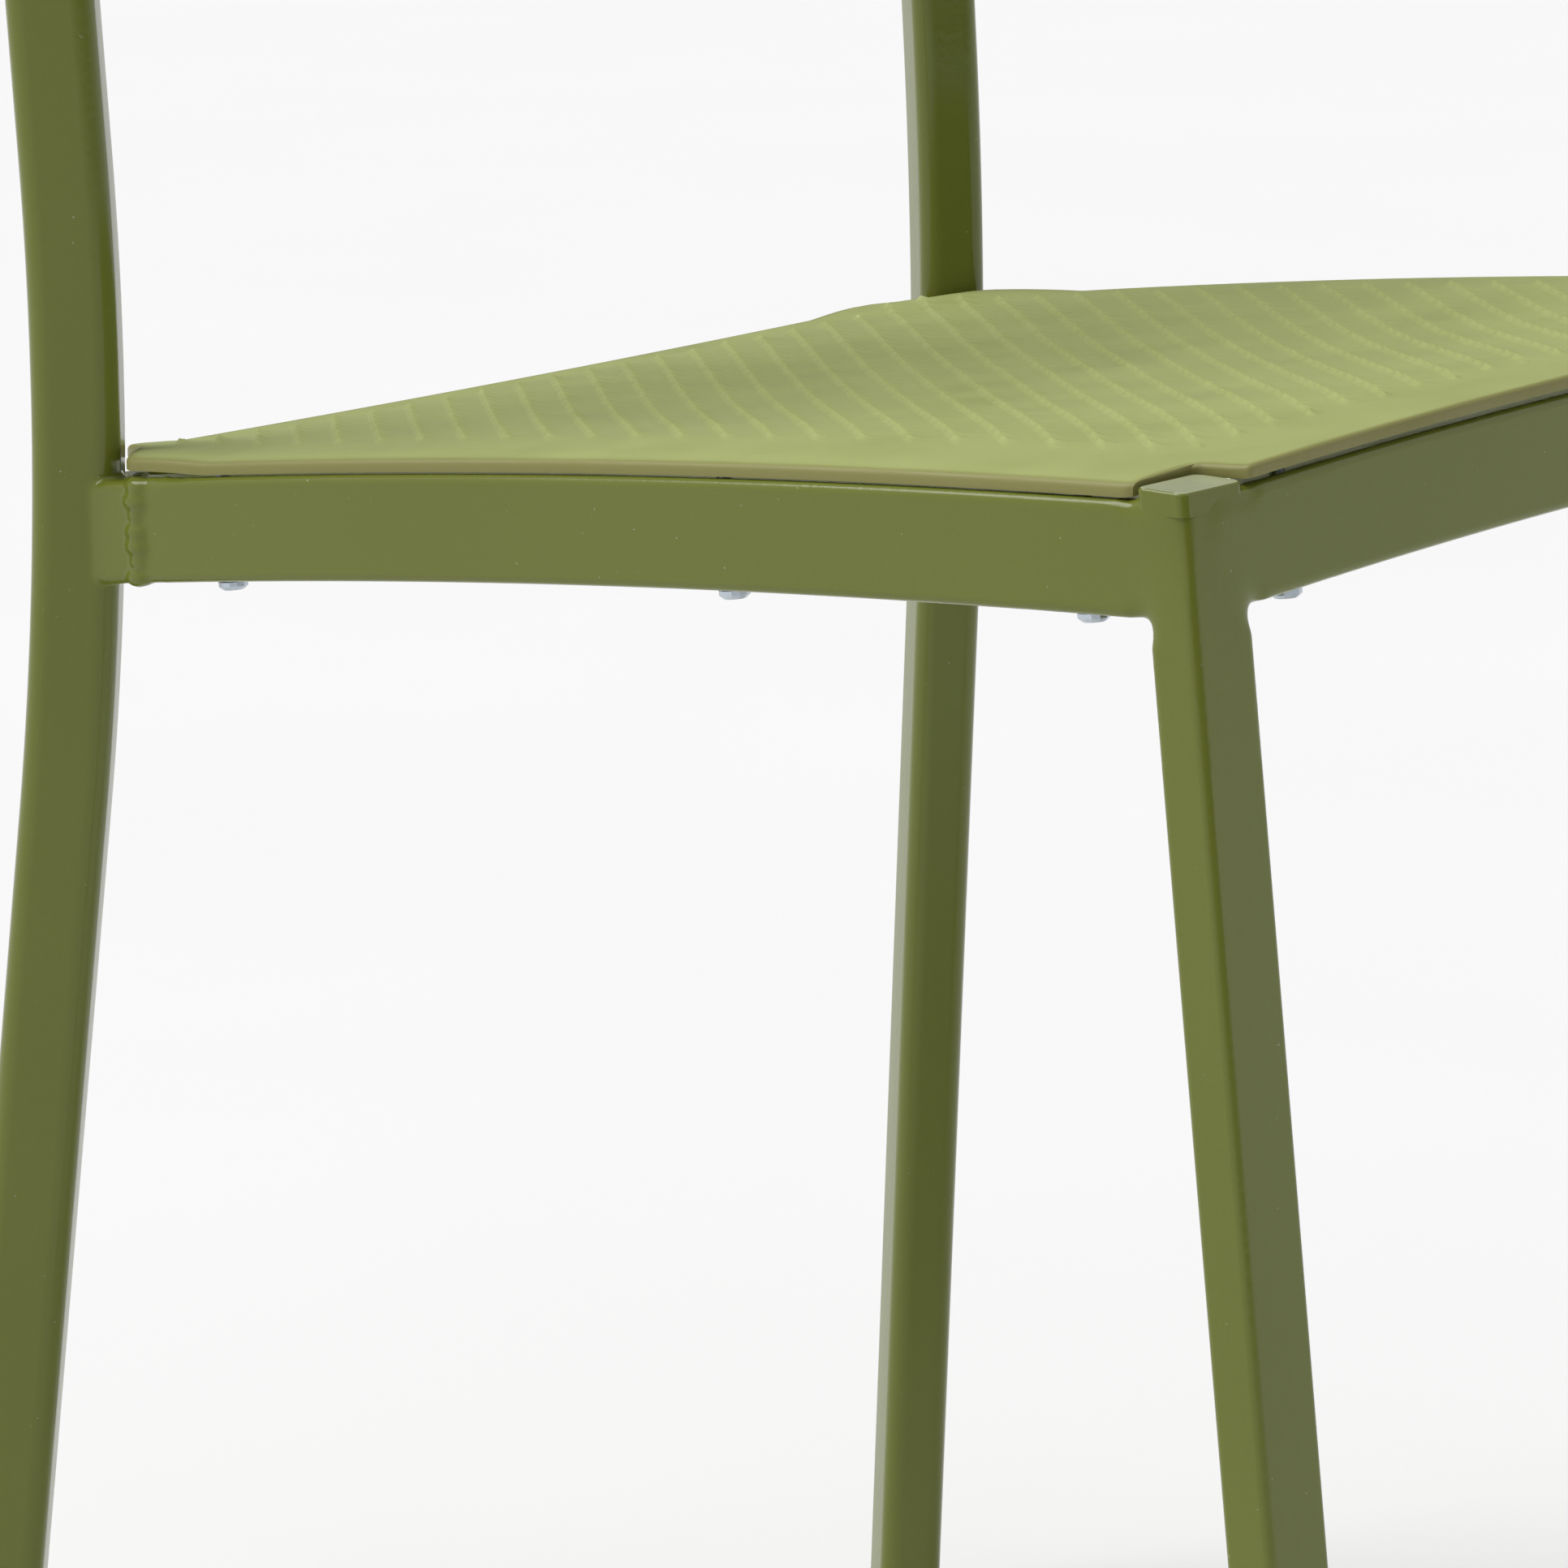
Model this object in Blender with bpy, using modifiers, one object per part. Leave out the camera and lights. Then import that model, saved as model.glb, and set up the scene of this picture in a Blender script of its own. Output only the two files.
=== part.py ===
"""Stacking chair: a welded tube frame with a moulded seat panel and back panel.

The frame is two bent rear posts, two front legs, two side rails, a front rail, a rear rail and
two back rails. The panels lie on the rails and are held by screws that pass through the tubes.
Metres, +Z up. The chair faces -Y, and the origin is on the floor under the middle of the chair.
"""
import math

import bmesh
import bpy
from mathutils import Matrix, Vector

# Overall sizes
TOTAL_HEIGHT = 0.800          # floor to the top of the rear posts
FRONT_JOINT_HEIGHT = 0.4530   # floor to the middle of the rails at the front legs
REAR_JOINT_HEIGHT = 0.4120    # floor to the middle of the rails at the rear posts
REAR_JOINT_X = 0.1833         # middle of a rear post, at the rails
REAR_JOINT_Y = 0.2012
FRONT_JOINT_X = 0.1873        # middle of a front leg, at the rails
FRONT_JOINT_Y = -0.1762

# Rear posts: one bend between two straight runs
POST_WIDTH = 0.0196           # across the face that looks at the seat
POST_DEPTH = 0.0238
POST_CORNER = 0.0060
POST_TURN = math.radians(37)  # how far the post's front face turns towards the middle of the seat
BEND_TURN = math.radians(21.8)  # the upright plane that the post is bent in
LOWER_SPLAY = 0.0996          # slope of the straight run below the bend
UPPER_LEAN = 0.0771           # slope of the straight run above the bend
BEND_HEIGHT = 0.013           # middle of the bend, above the rails
BEND_HALF = 0.0892            # half the height that the bend takes
INWARD_LEAN = 0.0198          # sideways slope of the whole post, towards the other post

# Front legs: straight tubes, splayed
LEG_WIDTH = 0.0233
LEG_DEPTH = 0.0140
LEG_CORNER = 0.0024
LEG_SPLAY_X = 0.0485
LEG_SPLAY_Y = 0.153
LEG_ABOVE_RAIL = 0.0026       # how far the leg's top stands over the rail's top

# Rails under the seat
RAIL_THICK = 0.014
RAIL_HEIGHT = 0.028
RAIL_CORNER = 0.0024
SIDE_ARCH = 0.0042            # rise of the side rail's middle over its ends
FRONT_ARCH = 0.0051
REAR_RAIL_DROP = 0.0015       # the rear rail sits lower than the side rails
REAR_RAIL_FRONT = 0.0025      # its front face, in front of the middle of the posts
SIDE_RAIL_OUTSET = 0.0047     # outer face of the side rail beyond the middle of the rear post

# Rails behind the back panel
BACK_RAIL_THICK = 0.012
BACK_RAIL_HEIGHT = 0.022
BACK_RAIL_CORNER = 0.0022
BACK_RAIL_SET = 0.0040        # the rail's middle behind the middle of the posts
BACK_BOW = 0.020              # how far the back curves away from the sitter
BACK_RAIL_INSET = 0.0240       # from the back panel's edges to the middles of its rails

# Walls and fits
TUBE_WALL = 0.0018
GAP = 0.0003                  # between pieces that touch
CAP_THICK = 0.0020            # plates that close the tops of posts and legs
GLIDE_FOOT = 0.0045           # part of the glide under the tube
GLIDE_PLUG = 0.014            # part of the glide inside the tube
GLIDE_CLEARANCE = 0.0004
WELD_LENGTH = 0.0060
WELD_THICK = 0.0016

# Moulded panels
PANEL_THICK = 0.0028
PANEL_CLEARANCE = 0.0004      # panel to the rails under it
NOTCH_CLEARANCE = 0.0010      # panel to the front legs
POST_CLEARANCE = 0.0030       # panel to the rear posts
RIM_INSET = 0.0015            # panel edge inside the outer faces of the rails
SEAT_CROWN = 0.0016            # the panel rises inside its rim, then dips to the middle
CROWN_REACH = 0.014
SEAT_DISH = 0.0055
SEAT_CORNER_LIFT = 0.0024     # the rear corners curl up beside the posts
CORNER_LIFT_REACH = 0.052
SEAT_REAR_OVERHANG = 0.0015   # rear edge behind the rear rail
SEAT_REAR_SETIN = 0.0283      # from the middle of a rear post to the panel's rear corner
BACK_PANEL_HEIGHT = 0.172
BACK_PANEL_BELOW_TOP = 0.012  # from the tops of the posts to the panel's top edge
BACK_PANEL_SIDE_GAP = 0.0040  # between the back panel and the posts
BACK_PANEL_ROUNDING = 0.026

# Screws
SCREW_SHANK = 0.0040
SCREW_HEAD = 0.0080
SCREW_HEAD_HEIGHT = 0.0022
SCREW_CLEARANCE = 0.0005      # around the shank
SCREW_INTO_PANEL = 0.0016
TIP_CLEARANCE = 0.0004        # beyond the screw's tip
SIDE_SCREW_PLACES = (0.147, 0.621, 0.925)  # along the side rail, from the rear
FRONT_SCREW_INSET = 0.0333    # from the middle of the leg
REAR_SCREW_INSET = 0.0713     # from the middle of the post
BACK_SCREW_INSET = 0.0750     # from the middle of the post, at the rail's height

# Worked out from the sizes above
SEAT_SLOPE = (FRONT_JOINT_HEIGHT - REAR_JOINT_HEIGHT) / (REAR_JOINT_Y - FRONT_JOINT_Y)
SEAT_TILT = math.atan(SEAT_SLOPE)
BACK_TILT = math.atan(UPPER_LEAN * math.cos(BEND_TURN))
REAR_RAIL_SET = RAIL_THICK / 2 - REAR_RAIL_FRONT
SIDE_RAIL_END = REAR_JOINT_Y - REAR_RAIL_FRONT - RAIL_HEIGHT / 2 * math.sin(SEAT_TILT) - GAP
LEG_TOP = FRONT_JOINT_HEIGHT + RAIL_HEIGHT / 2 + LEG_ABOVE_RAIL
BACK_PANEL_TOP = TOTAL_HEIGHT - BACK_PANEL_BELOW_TOP
BACK_PANEL_BOTTOM = BACK_PANEL_TOP - BACK_PANEL_HEIGHT
UPPER_BACK_RAIL_HEIGHT = BACK_PANEL_TOP - BACK_RAIL_INSET
LOWER_BACK_RAIL_HEIGHT = BACK_PANEL_BOTTOM + BACK_RAIL_INSET
SCREW_HOLE = SCREW_SHANK + 2 * SCREW_CLEARANCE
SIDE_RAIL_REAR_X = REAR_JOINT_X + SIDE_RAIL_OUTSET - RAIL_THICK / 2
SIDE_RAIL_FRONT_X = FRONT_JOINT_X + LEG_WIDTH / 2 - RAIL_THICK / 2
CORNER_STEPS = 3

CHAIR = bpy.data.collections.new("stacking_chair")
CUTTERS = bpy.data.collections.new("cutters")


def clear_scene():
    """Remove whatever the file holds and link the two collections."""
    for old in list(bpy.data.objects):
        bpy.data.objects.remove(old, do_unlink=True)
    for group in (CHAIR, CUTTERS):
        bpy.context.scene.collection.children.link(group)


def make_material(name, colour, roughness, metallic):
    """A Principled material."""
    material = bpy.data.materials.new(name)
    material.use_nodes = True
    shader = material.node_tree.nodes["Principled BSDF"]
    shader.inputs["Base Color"].default_value = (*colour, 1.0)
    shader.inputs["Roughness"].default_value = roughness
    shader.inputs["Metallic"].default_value = metallic
    return material


# Outlines -----------------------------------------------------------------------------------

def rounded_rectangle(width, depth, radius, steps=CORNER_STEPS):
    """Corner points of a rounded rectangle around the origin, anticlockwise."""
    points = []
    for corner, (sx, sy) in enumerate(((1, 1), (-1, 1), (-1, -1), (1, -1))):
        centre = Vector((sx * (width / 2 - radius), sy * (depth / 2 - radius)))
        for step in range(steps + 1):
            angle = math.pi / 2 * (corner + step / steps)
            points.append(centre + radius * Vector((math.cos(angle), math.sin(angle))))
    return points


def round_corners(corners, radii, steps=4):
    """Replace each corner of a polygon by a curve that touches both its sides."""
    points = []
    count = len(corners)
    for index, radius in enumerate(radii):
        corner = Vector(corners[index])
        before = (Vector(corners[index - 1]) - corner).normalized()
        after = (Vector(corners[(index + 1) % count]) - corner).normalized()
        reach = radius / math.tan(before.angle(after) / 2)
        start = corner + before * reach
        end = corner + after * reach
        for step in range(steps + 1):
            t = step / steps
            points.append((1 - t) ** 2 * start + 2 * t * (1 - t) * corner + t ** 2 * end)
    return points


# Object helpers -----------------------------------------------------------------------------

def add_object(name, mesh, material, group=CHAIR):
    """Link a new object, smooth between faces that meet at under 40 degrees."""
    made = bpy.data.objects.new(name, mesh)
    group.objects.link(made)
    if material:
        mesh.materials.append(material)
    mesh.shade_smooth()
    mesh.set_sharp_from_angle(angle=math.radians(40))
    return made


def sweep(name, outlines, frames, material, group=CHAIR, capped=True):
    """Extrude an outline from frame to frame. Outlines may change from one frame to the next."""
    if not isinstance(outlines[0], list):
        outlines = [outlines] * len(frames)
    work = bmesh.new()
    ring = [work.verts.new(frames[0] @ point.to_3d()) for point in outlines[0]]
    edges = [work.edges.new((ring[i], ring[(i + 1) % len(ring)])) for i in range(len(ring))]
    first = list(ring)
    for frame, outline in zip(frames[1:], outlines[1:]):
        grown = bmesh.ops.extrude_edge_only(work, edges=edges)["geom"]
        new_edges = [item for item in grown if isinstance(item, bmesh.types.BMEdge)]
        following = {}
        for old in ring:
            for edge in old.link_edges:
                other = edge.other_vert(old)
                if other in grown and other not in ring:
                    following[old] = other
        ring = [following[old] for old in ring]
        for vert, point in zip(ring, outline):
            vert.co = frame @ point.to_3d()
        edges = [edge for edge in new_edges if edge.verts[0] in ring and edge.verts[1] in ring]
    if capped:
        work.faces.new(first)
        work.faces.new(ring)
    bmesh.ops.recalc_face_normals(work, faces=work.faces)
    mesh = bpy.data.meshes.new(name)
    work.to_mesh(mesh)
    work.free()
    return add_object(name, mesh, material, group)


def make_hollow(tube, wall=TUBE_WALL):
    """Give an open sweep a wall on its inner side."""
    shell = tube.modifiers.new("wall", "SOLIDIFY")
    shell.thickness = wall
    shell.offset = -1.0
    shell.use_even_offset = True


def cut(target, cutter, operation="DIFFERENCE"):
    """Boolean with the exact solver."""
    boolean = target.modifiers.new("cut_" + cutter.name, "BOOLEAN")
    boolean.operation = operation
    boolean.object = cutter
    boolean.solver = "EXACT"


def hide_cutter(cutter):
    """Cutters stay in the file but are not part of the chair."""
    cutter.hide_render = True
    cutter.display_type = "WIRE"
    return cutter


def cylinder_mesh(work, radius, start, end, sides=12):
    """Add a closed cylinder between two points to a bmesh."""
    axis = end - start
    turn = axis.to_track_quat("Z", "Y").to_matrix().to_4x4()
    place = Matrix.Translation((start + end) / 2) @ turn
    bmesh.ops.create_cone(work, cap_ends=True, segments=sides, radius1=radius, radius2=radius,
                          depth=axis.length, matrix=place)


def hole_cutter(name, lines, radius):
    """One cutter with a cylinder for each (start, end) line."""
    work = bmesh.new()
    for start, end in lines:
        cylinder_mesh(work, radius, start, end)
    mesh = bpy.data.meshes.new(name)
    work.to_mesh(mesh)
    work.free()
    return hide_cutter(add_object(name, mesh, None, CUTTERS))


# Where the frame runs -------------------------------------------------------------------------

def post_lean(height):
    """How far the post's axis stands back from the rail joint, at a height above the joint."""
    half_change = (UPPER_LEAN + LOWER_SPLAY) / 2
    middle_slope = (UPPER_LEAN - LOWER_SPLAY) / 2
    reach = max(-1.0, min(1.0, (height - BEND_HEIGHT) / BEND_HALF))
    lean = BEND_HALF * (middle_slope * reach + half_change * reach * reach / 2)
    beyond = height - BEND_HEIGHT - reach * BEND_HALF
    return lean + beyond * (UPPER_LEAN if beyond > 0 else -LOWER_SPLAY)


def post_point(side, z):
    """Middle of a rear post at height z. side is -1 or 1."""
    height = z - REAR_JOINT_HEIGHT
    lean = post_lean(height)
    across = REAR_JOINT_X + math.sin(BEND_TURN) * lean - INWARD_LEAN * height
    return Vector((side * across, REAR_JOINT_Y + math.cos(BEND_TURN) * lean, z))


def post_frame(side, z):
    """Level slice through a rear post."""
    return Matrix.Translation(post_point(side, z)) @ Matrix.Rotation(-side * POST_TURN, 4, "Z")


def post_levels(bottom, top):
    """Heights of the slices: close together in the bend."""
    low = REAR_JOINT_HEIGHT + BEND_HEIGHT - BEND_HALF
    high = REAR_JOINT_HEIGHT + BEND_HEIGHT + BEND_HALF
    bend = [low + (high - low) * step / 7 for step in range(8)]
    return [bottom] + [z for z in bend if bottom < z < top] + [top]


def leg_point(side, z):
    """Middle of a front leg at height z."""
    drop = FRONT_JOINT_HEIGHT - z
    return Vector((side * (FRONT_JOINT_X + LEG_SPLAY_X * drop), FRONT_JOINT_Y - LEG_SPLAY_Y * drop, z))


def leg_frame(side, z):
    """Level slice through a front leg."""
    return Matrix.Translation(leg_point(side, z))


def along_seat(y):
    """-1 at the front legs, 1 at the rear posts."""
    return (2 * y - REAR_JOINT_Y - FRONT_JOINT_Y) / (REAR_JOINT_Y - FRONT_JOINT_Y)


def seat_plane(y):
    """Height of the sloping plane through the middles of the rails."""
    return REAR_JOINT_HEIGHT + SEAT_SLOPE * (REAR_JOINT_Y - y)


def side_rail_point(side, y):
    """Middle of a side rail."""
    share = (REAR_JOINT_Y - y) / (REAR_JOINT_Y - FRONT_JOINT_Y)
    across = SIDE_RAIL_REAR_X + (SIDE_RAIL_FRONT_X - SIDE_RAIL_REAR_X) * share
    return Vector((side * across, y, seat_plane(y) + SIDE_ARCH * (1 - along_seat(y) ** 2)))


def front_rail_point(x):
    """Middle of the front rail."""
    return Vector((x, FRONT_JOINT_Y, FRONT_JOINT_HEIGHT + FRONT_ARCH * (1 - (x / FRONT_JOINT_X) ** 2)))


def rear_rail_point(x):
    """Middle of the rear rail."""
    y = REAR_JOINT_Y + REAR_RAIL_SET
    return Vector((x, y, seat_plane(y) - REAR_RAIL_DROP))


def back_rail_point(x, z):
    """Middle of a back rail: an arc between the posts."""
    post = post_point(1, z)
    return Vector((x, post.y + BACK_RAIL_SET + BACK_BOW * (1 - (x / post.x) ** 2), z))


def cross_frame(point, tilt):
    """Upright slice across a rail that runs along X, tipped about its own length."""
    upright = Matrix(((0, 0, 1, 0), (1, 0, 0, 0), (0, 1, 0, 0), (0, 0, 0, 1)))
    return Matrix.Translation(point) @ Matrix.Rotation(-tilt, 4, "X") @ upright


def lengthwise_frame(point):
    """Upright slice across a rail that runs along Y."""
    return Matrix.Translation(point) @ Matrix.Rotation(math.pi / 2, 4, "X")


# Frame pieces -----------------------------------------------------------------------------------

def grow(outline, distance):
    """Move an outline outwards by scaling each point from the middle of its box."""
    width = max(p.x for p in outline)
    depth = max(p.y for p in outline)
    return [Vector((p.x * (1 + distance / width), p.y * (1 + distance / depth))) for p in outline]


def side_name(side):
    """The sitter's left is +X, because the chair faces -Y."""
    return "left" if side > 0 else "right"


def build_posts(paint, nylon):
    """Rear posts with their top plates, glides and the cutter that each rail end is coped with."""
    outline = rounded_rectangle(POST_WIDTH, POST_DEPTH, POST_CORNER)
    cutters = {}
    for side in (1, -1):
        tag = side_name(side)
        levels = post_levels(GLIDE_FOOT + GAP, TOTAL_HEIGHT - CAP_THICK - GAP)
        frames = [post_frame(side, z) for z in levels]
        make_hollow(sweep("rear_post_" + tag, outline, frames, paint, capped=False))
        top = [post_frame(side, z) for z in (TOTAL_HEIGHT - CAP_THICK, TOTAL_HEIGHT)]
        sweep("rear_post_cap_" + tag, outline, top, paint)
        build_glide("rear_glide_" + tag, outline, lambda z, s=side: post_frame(s, z), nylon)
        cutters[side] = hide_cutter(sweep("post_space_" + tag, grow(outline, GAP), frames, None, CUTTERS))
    return cutters


def build_legs(paint, nylon):
    """Front legs with their top plates and glides, and a cutter for the end of each kind of rail."""
    outline = rounded_rectangle(LEG_WIDTH, LEG_DEPTH, LEG_CORNER)
    behind = rounded_rectangle(2 * LEG_WIDTH, LEG_DEPTH + 2 * GAP, LEG_CORNER)
    beside = rounded_rectangle(LEG_WIDTH + 2 * GAP, 2 * LEG_WIDTH, LEG_CORNER)
    cutters = {"side": {}, "front": {}}
    for side in (1, -1):
        tag = side_name(side)
        frames = [leg_frame(side, z) for z in (GLIDE_FOOT + GAP, LEG_TOP - CAP_THICK - GAP)]
        make_hollow(sweep("front_leg_" + tag, outline, frames, paint, capped=False))
        top = [leg_frame(side, z) for z in (LEG_TOP - CAP_THICK, LEG_TOP)]
        sweep("front_leg_cap_" + tag, outline, top, paint)
        build_glide("front_glide_" + tag, outline, lambda z, s=side: leg_frame(s, z), nylon)
        space = [leg_frame(side, z) for z in (GLIDE_FOOT, LEG_TOP)]
        for rail, shape in (("side", behind), ("front", beside)):
            cutter = sweep("leg_space_" + rail + "_" + tag, shape, space, None, CUTTERS)
            cutters[rail][side] = hide_cutter(cutter)
    return cutters


def build_glide(name, outline, frame_at, nylon):
    """A glide: a foot as wide as the tube, under a plug that fits inside it."""
    plug = grow(outline, -TUBE_WALL - GLIDE_CLEARANCE)
    tip = grow(outline, -2 * TUBE_WALL)
    worn = grow(outline, -0.001)
    stations = ((0.0, worn), (0.001, outline), (GLIDE_FOOT, outline), (GLIDE_FOOT, plug),
                (GLIDE_FOOT + GLIDE_PLUG - 0.002, plug), (GLIDE_FOOT + GLIDE_PLUG, tip))
    sweep(name, [ring for _, ring in stations], [frame_at(z) for z, _ in stations], nylon)


def build_side_rails(paint, posts, legs, holes):
    """Arched side rails, coped to the post behind and the leg in front."""
    outline = rounded_rectangle(RAIL_THICK, RAIL_HEIGHT, RAIL_CORNER)
    for side in (1, -1):
        tag = side_name(side)
        places = [SIDE_RAIL_END + (FRONT_JOINT_Y - SIDE_RAIL_END) * step / 8 for step in range(9)]
        frames = [lengthwise_frame(side_rail_point(side, y)) for y in places]
        rail = sweep("side_rail_" + tag, outline, frames, paint, capped=False)
        make_hollow(rail)
        cut(rail, posts[side])
        cut(rail, legs[side])
        cut(rail, hole_cutter("side_rail_holes_" + tag, holes["side"][side], SCREW_HOLE / 2))


def build_cross_rail(name, outline, points, tilt, paint, spaces, lines):
    """A rail along X between two uprights."""
    frames = [cross_frame(point, tilt) for point in points]
    rail = sweep(name, outline, frames, paint, capped=False)
    make_hollow(rail)
    for space in spaces.values():
        cut(rail, space)
    cut(rail, hole_cutter(name + "_holes", lines, SCREW_HOLE / 2))


def spread(half, count):
    """Even places from -half to half."""
    return [half * (2 * step / (count - 1) - 1) for step in range(count)]


def build_welds(paint, posts):
    """Weld beads around the rail ends at the rear posts."""
    rail = rounded_rectangle(RAIL_THICK, RAIL_HEIGHT, RAIL_CORNER)
    bead = grow(rail, GAP + WELD_THICK)
    for side in (1, -1):
        tag = side_name(side)
        front = REAR_JOINT_Y - POST_DEPTH / 2 * math.cos(POST_TURN) - POST_WIDTH / 2 * math.sin(POST_TURN)
        frames = [lengthwise_frame(side_rail_point(side, y)) for y in (SIDE_RAIL_END, front - WELD_LENGTH)]
        weld = sweep("side_rail_weld_" + tag, bead, frames, paint, capped=False)
        make_hollow(weld, WELD_THICK)
        cut(weld, posts[side])


# Panels ---------------------------------------------------------------------------------------

def seat_underside(x, y):
    """Height of the seat panel's lower face."""
    share = min(1.0, abs(x) / FRONT_JOINT_X)
    along = max(-1.0, min(1.0, along_seat(y)))
    front = FRONT_ARCH * (1 - share ** 2) * (1 - along) / 2
    rear = -REAR_RAIL_DROP * (1 - share ** 2) * (1 + along) / 2
    edge = SIDE_ARCH * (1 - along ** 2) + front + rear
    inner_x = SIDE_RAIL_REAR_X - RAIL_THICK / 2 - 0.002
    inner_front = FRONT_JOINT_Y + RAIL_THICK / 2 + 0.002
    inner_rear = REAR_JOINT_Y - RAIL_THICK / 2 - 0.002
    u = min(1.0, abs(x) / inner_x)
    v = min(1.0, abs(2 * y - inner_front - inner_rear) / (inner_rear - inner_front))
    dish = SEAT_DISH * (1 - u ** 3) ** 2 * (1 - v ** 3) ** 2
    towards = max(0.0, 1 - math.hypot(abs(x) - REAR_JOINT_X, y - REAR_JOINT_Y) / CORNER_LIFT_REACH)
    lift = SEAT_CORNER_LIFT * towards * (2 - towards)
    inside = max(0.0, min(1.0, (side_rail_point(1, y).x + RAIL_THICK / 2 - abs(x)) / CROWN_REACH))
    crown = SEAT_CROWN * inside * (2 - inside)
    return seat_plane(y) + RAIL_HEIGHT / 2 + PANEL_CLEARANCE + edge + crown - dish + lift


def slab(name, xs, ys, place, normal_offset, material):
    """A closed slab from a grid of points, with a second face at an offset."""
    work = bmesh.new()
    grid = [[work.verts.new(place(x, y)) for x in xs] for y in ys]
    for j in range(len(ys) - 1):
        for i in range(len(xs) - 1):
            work.faces.new((grid[j][i], grid[j][i + 1], grid[j + 1][i + 1], grid[j + 1][i]))
    lower = list(work.faces)
    raised = bmesh.ops.extrude_face_region(work, geom=lower, use_keep_orig=True)["geom"]
    for item in raised:
        if isinstance(item, bmesh.types.BMVert):
            item.co += normal_offset
    bmesh.ops.recalc_face_normals(work, faces=work.faces)
    mesh = bpy.data.meshes.new(name)
    work.to_mesh(mesh)
    work.free()
    return add_object(name, mesh, material)


def prism_cutter(name, outline, frame, low, high):
    """A straight prism, as an outline curve made solid."""
    frames = [frame @ Matrix.Translation((0, 0, level)) for level in (low, high)]
    return hide_cutter(sweep(name, outline, frames, None, CUTTERS))


def seat_outline():
    """Plan of the seat panel: notched round the front legs and the rear posts."""
    leg = leg_point(1, LEG_TOP)
    notch_x = leg.x - LEG_WIDTH / 2 - NOTCH_CLEARANCE
    notch_y = leg.y + LEG_DEPTH / 2 + NOTCH_CLEARANCE
    front = FRONT_JOINT_Y - RAIL_THICK / 2 + RIM_INSET
    rear = REAR_JOINT_Y + REAR_RAIL_SET + RAIL_THICK / 2 + SEAT_REAR_OVERHANG
    post = post_point(1, REAR_JOINT_HEIGHT + RAIL_HEIGHT / 2).to_2d()
    inwards = Vector((-math.sin(POST_TURN), -math.cos(POST_TURN)))
    outwards = Vector((math.cos(POST_TURN), -math.sin(POST_TURN)))
    face = post + inwards * (POST_DEPTH / 2 + POST_CLEARANCE)
    inner = face - outwards * (POST_WIDTH / 2 + POST_CLEARANCE)
    rim_rear = side_rail_point(1, face.y).x + RAIL_THICK / 2 - RIM_INSET
    rim_front = side_rail_point(1, notch_y).x + RAIL_THICK / 2 - RIM_INSET
    rim_end = face + outwards * (rim_rear - face.x) / outwards.x
    half = [(notch_x, front), (notch_x, notch_y), (rim_front, notch_y), rim_end, inner, (REAR_JOINT_X - SEAT_REAR_SETIN, rear)]
    radii = [0.002, 0.004, 0.004, 0.004, 0.006, 0.010]
    mirrored = [(-point[0], point[1]) for point in half[::-1]]
    return round_corners(half + mirrored, radii + radii[::-1]), rim_front, front, rear


def build_seat(plastic, lines):
    """The seat panel: a dished slab trimmed to its plan, with blind holes for the screws."""
    outline, half, front, rear = seat_outline()
    margin = 0.004
    xs = spread(half + margin, 20)
    ys = [(front + rear) / 2 + place for place in spread((rear - front) / 2 + margin, 20)]
    seat = slab("seat_panel", xs, ys, lambda x, y: Vector((x, y, seat_underside(x, y))),
                Vector((0, 0, PANEL_THICK)), plastic)
    low = REAR_JOINT_HEIGHT - RAIL_HEIGHT
    high = FRONT_JOINT_HEIGHT + 2 * RAIL_HEIGHT
    cut(seat, prism_cutter("seat_plan", outline, Matrix(), low, high), "INTERSECT")
    cut(seat, hole_cutter("seat_holes", lines, SCREW_HOLE / 2))


def back_front_y(x, z):
    """The rear face of the back panel, which lies on the back rails."""
    return back_rail_point(x, z).y - (BACK_RAIL_THICK / 2 + PANEL_CLEARANCE) / math.cos(BACK_TILT)


def build_back(plastic, lines):
    """The back panel: a bowed slab trimmed to a rounded rectangle."""
    middle = (BACK_PANEL_BOTTOM + BACK_PANEL_TOP) / 2
    half = post_point(1, middle).x - POST_WIDTH / 2 * math.cos(POST_TURN)
    half -= POST_DEPTH / 2 * math.sin(POST_TURN) + BACK_PANEL_SIDE_GAP
    height = BACK_PANEL_TOP - BACK_PANEL_BOTTOM
    xs = spread(half + 0.004, 19)
    zs = [middle + place for place in spread(height / 2 + 0.004, 7)]
    back = slab("back_panel", xs, zs, lambda x, z: Vector((x, back_front_y(x, z), z)),
                Vector((0, -PANEL_THICK, 0)), plastic)
    outline = rounded_rectangle(2 * half, height, BACK_PANEL_ROUNDING, 5)
    frame = Matrix.Translation((0, 0, middle)) @ Matrix.Rotation(math.pi / 2, 4, "X")
    cut(back, prism_cutter("back_plan", outline, frame, -0.40, 0.0), "INTERSECT")
    cut(back, hole_cutter("back_holes", lines, SCREW_HOLE / 2))


# Screws ---------------------------------------------------------------------------------------

def screw_line(point, direction, length):
    """A screw's axis: from the face under its head to its tip."""
    return point, point + direction * length


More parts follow.
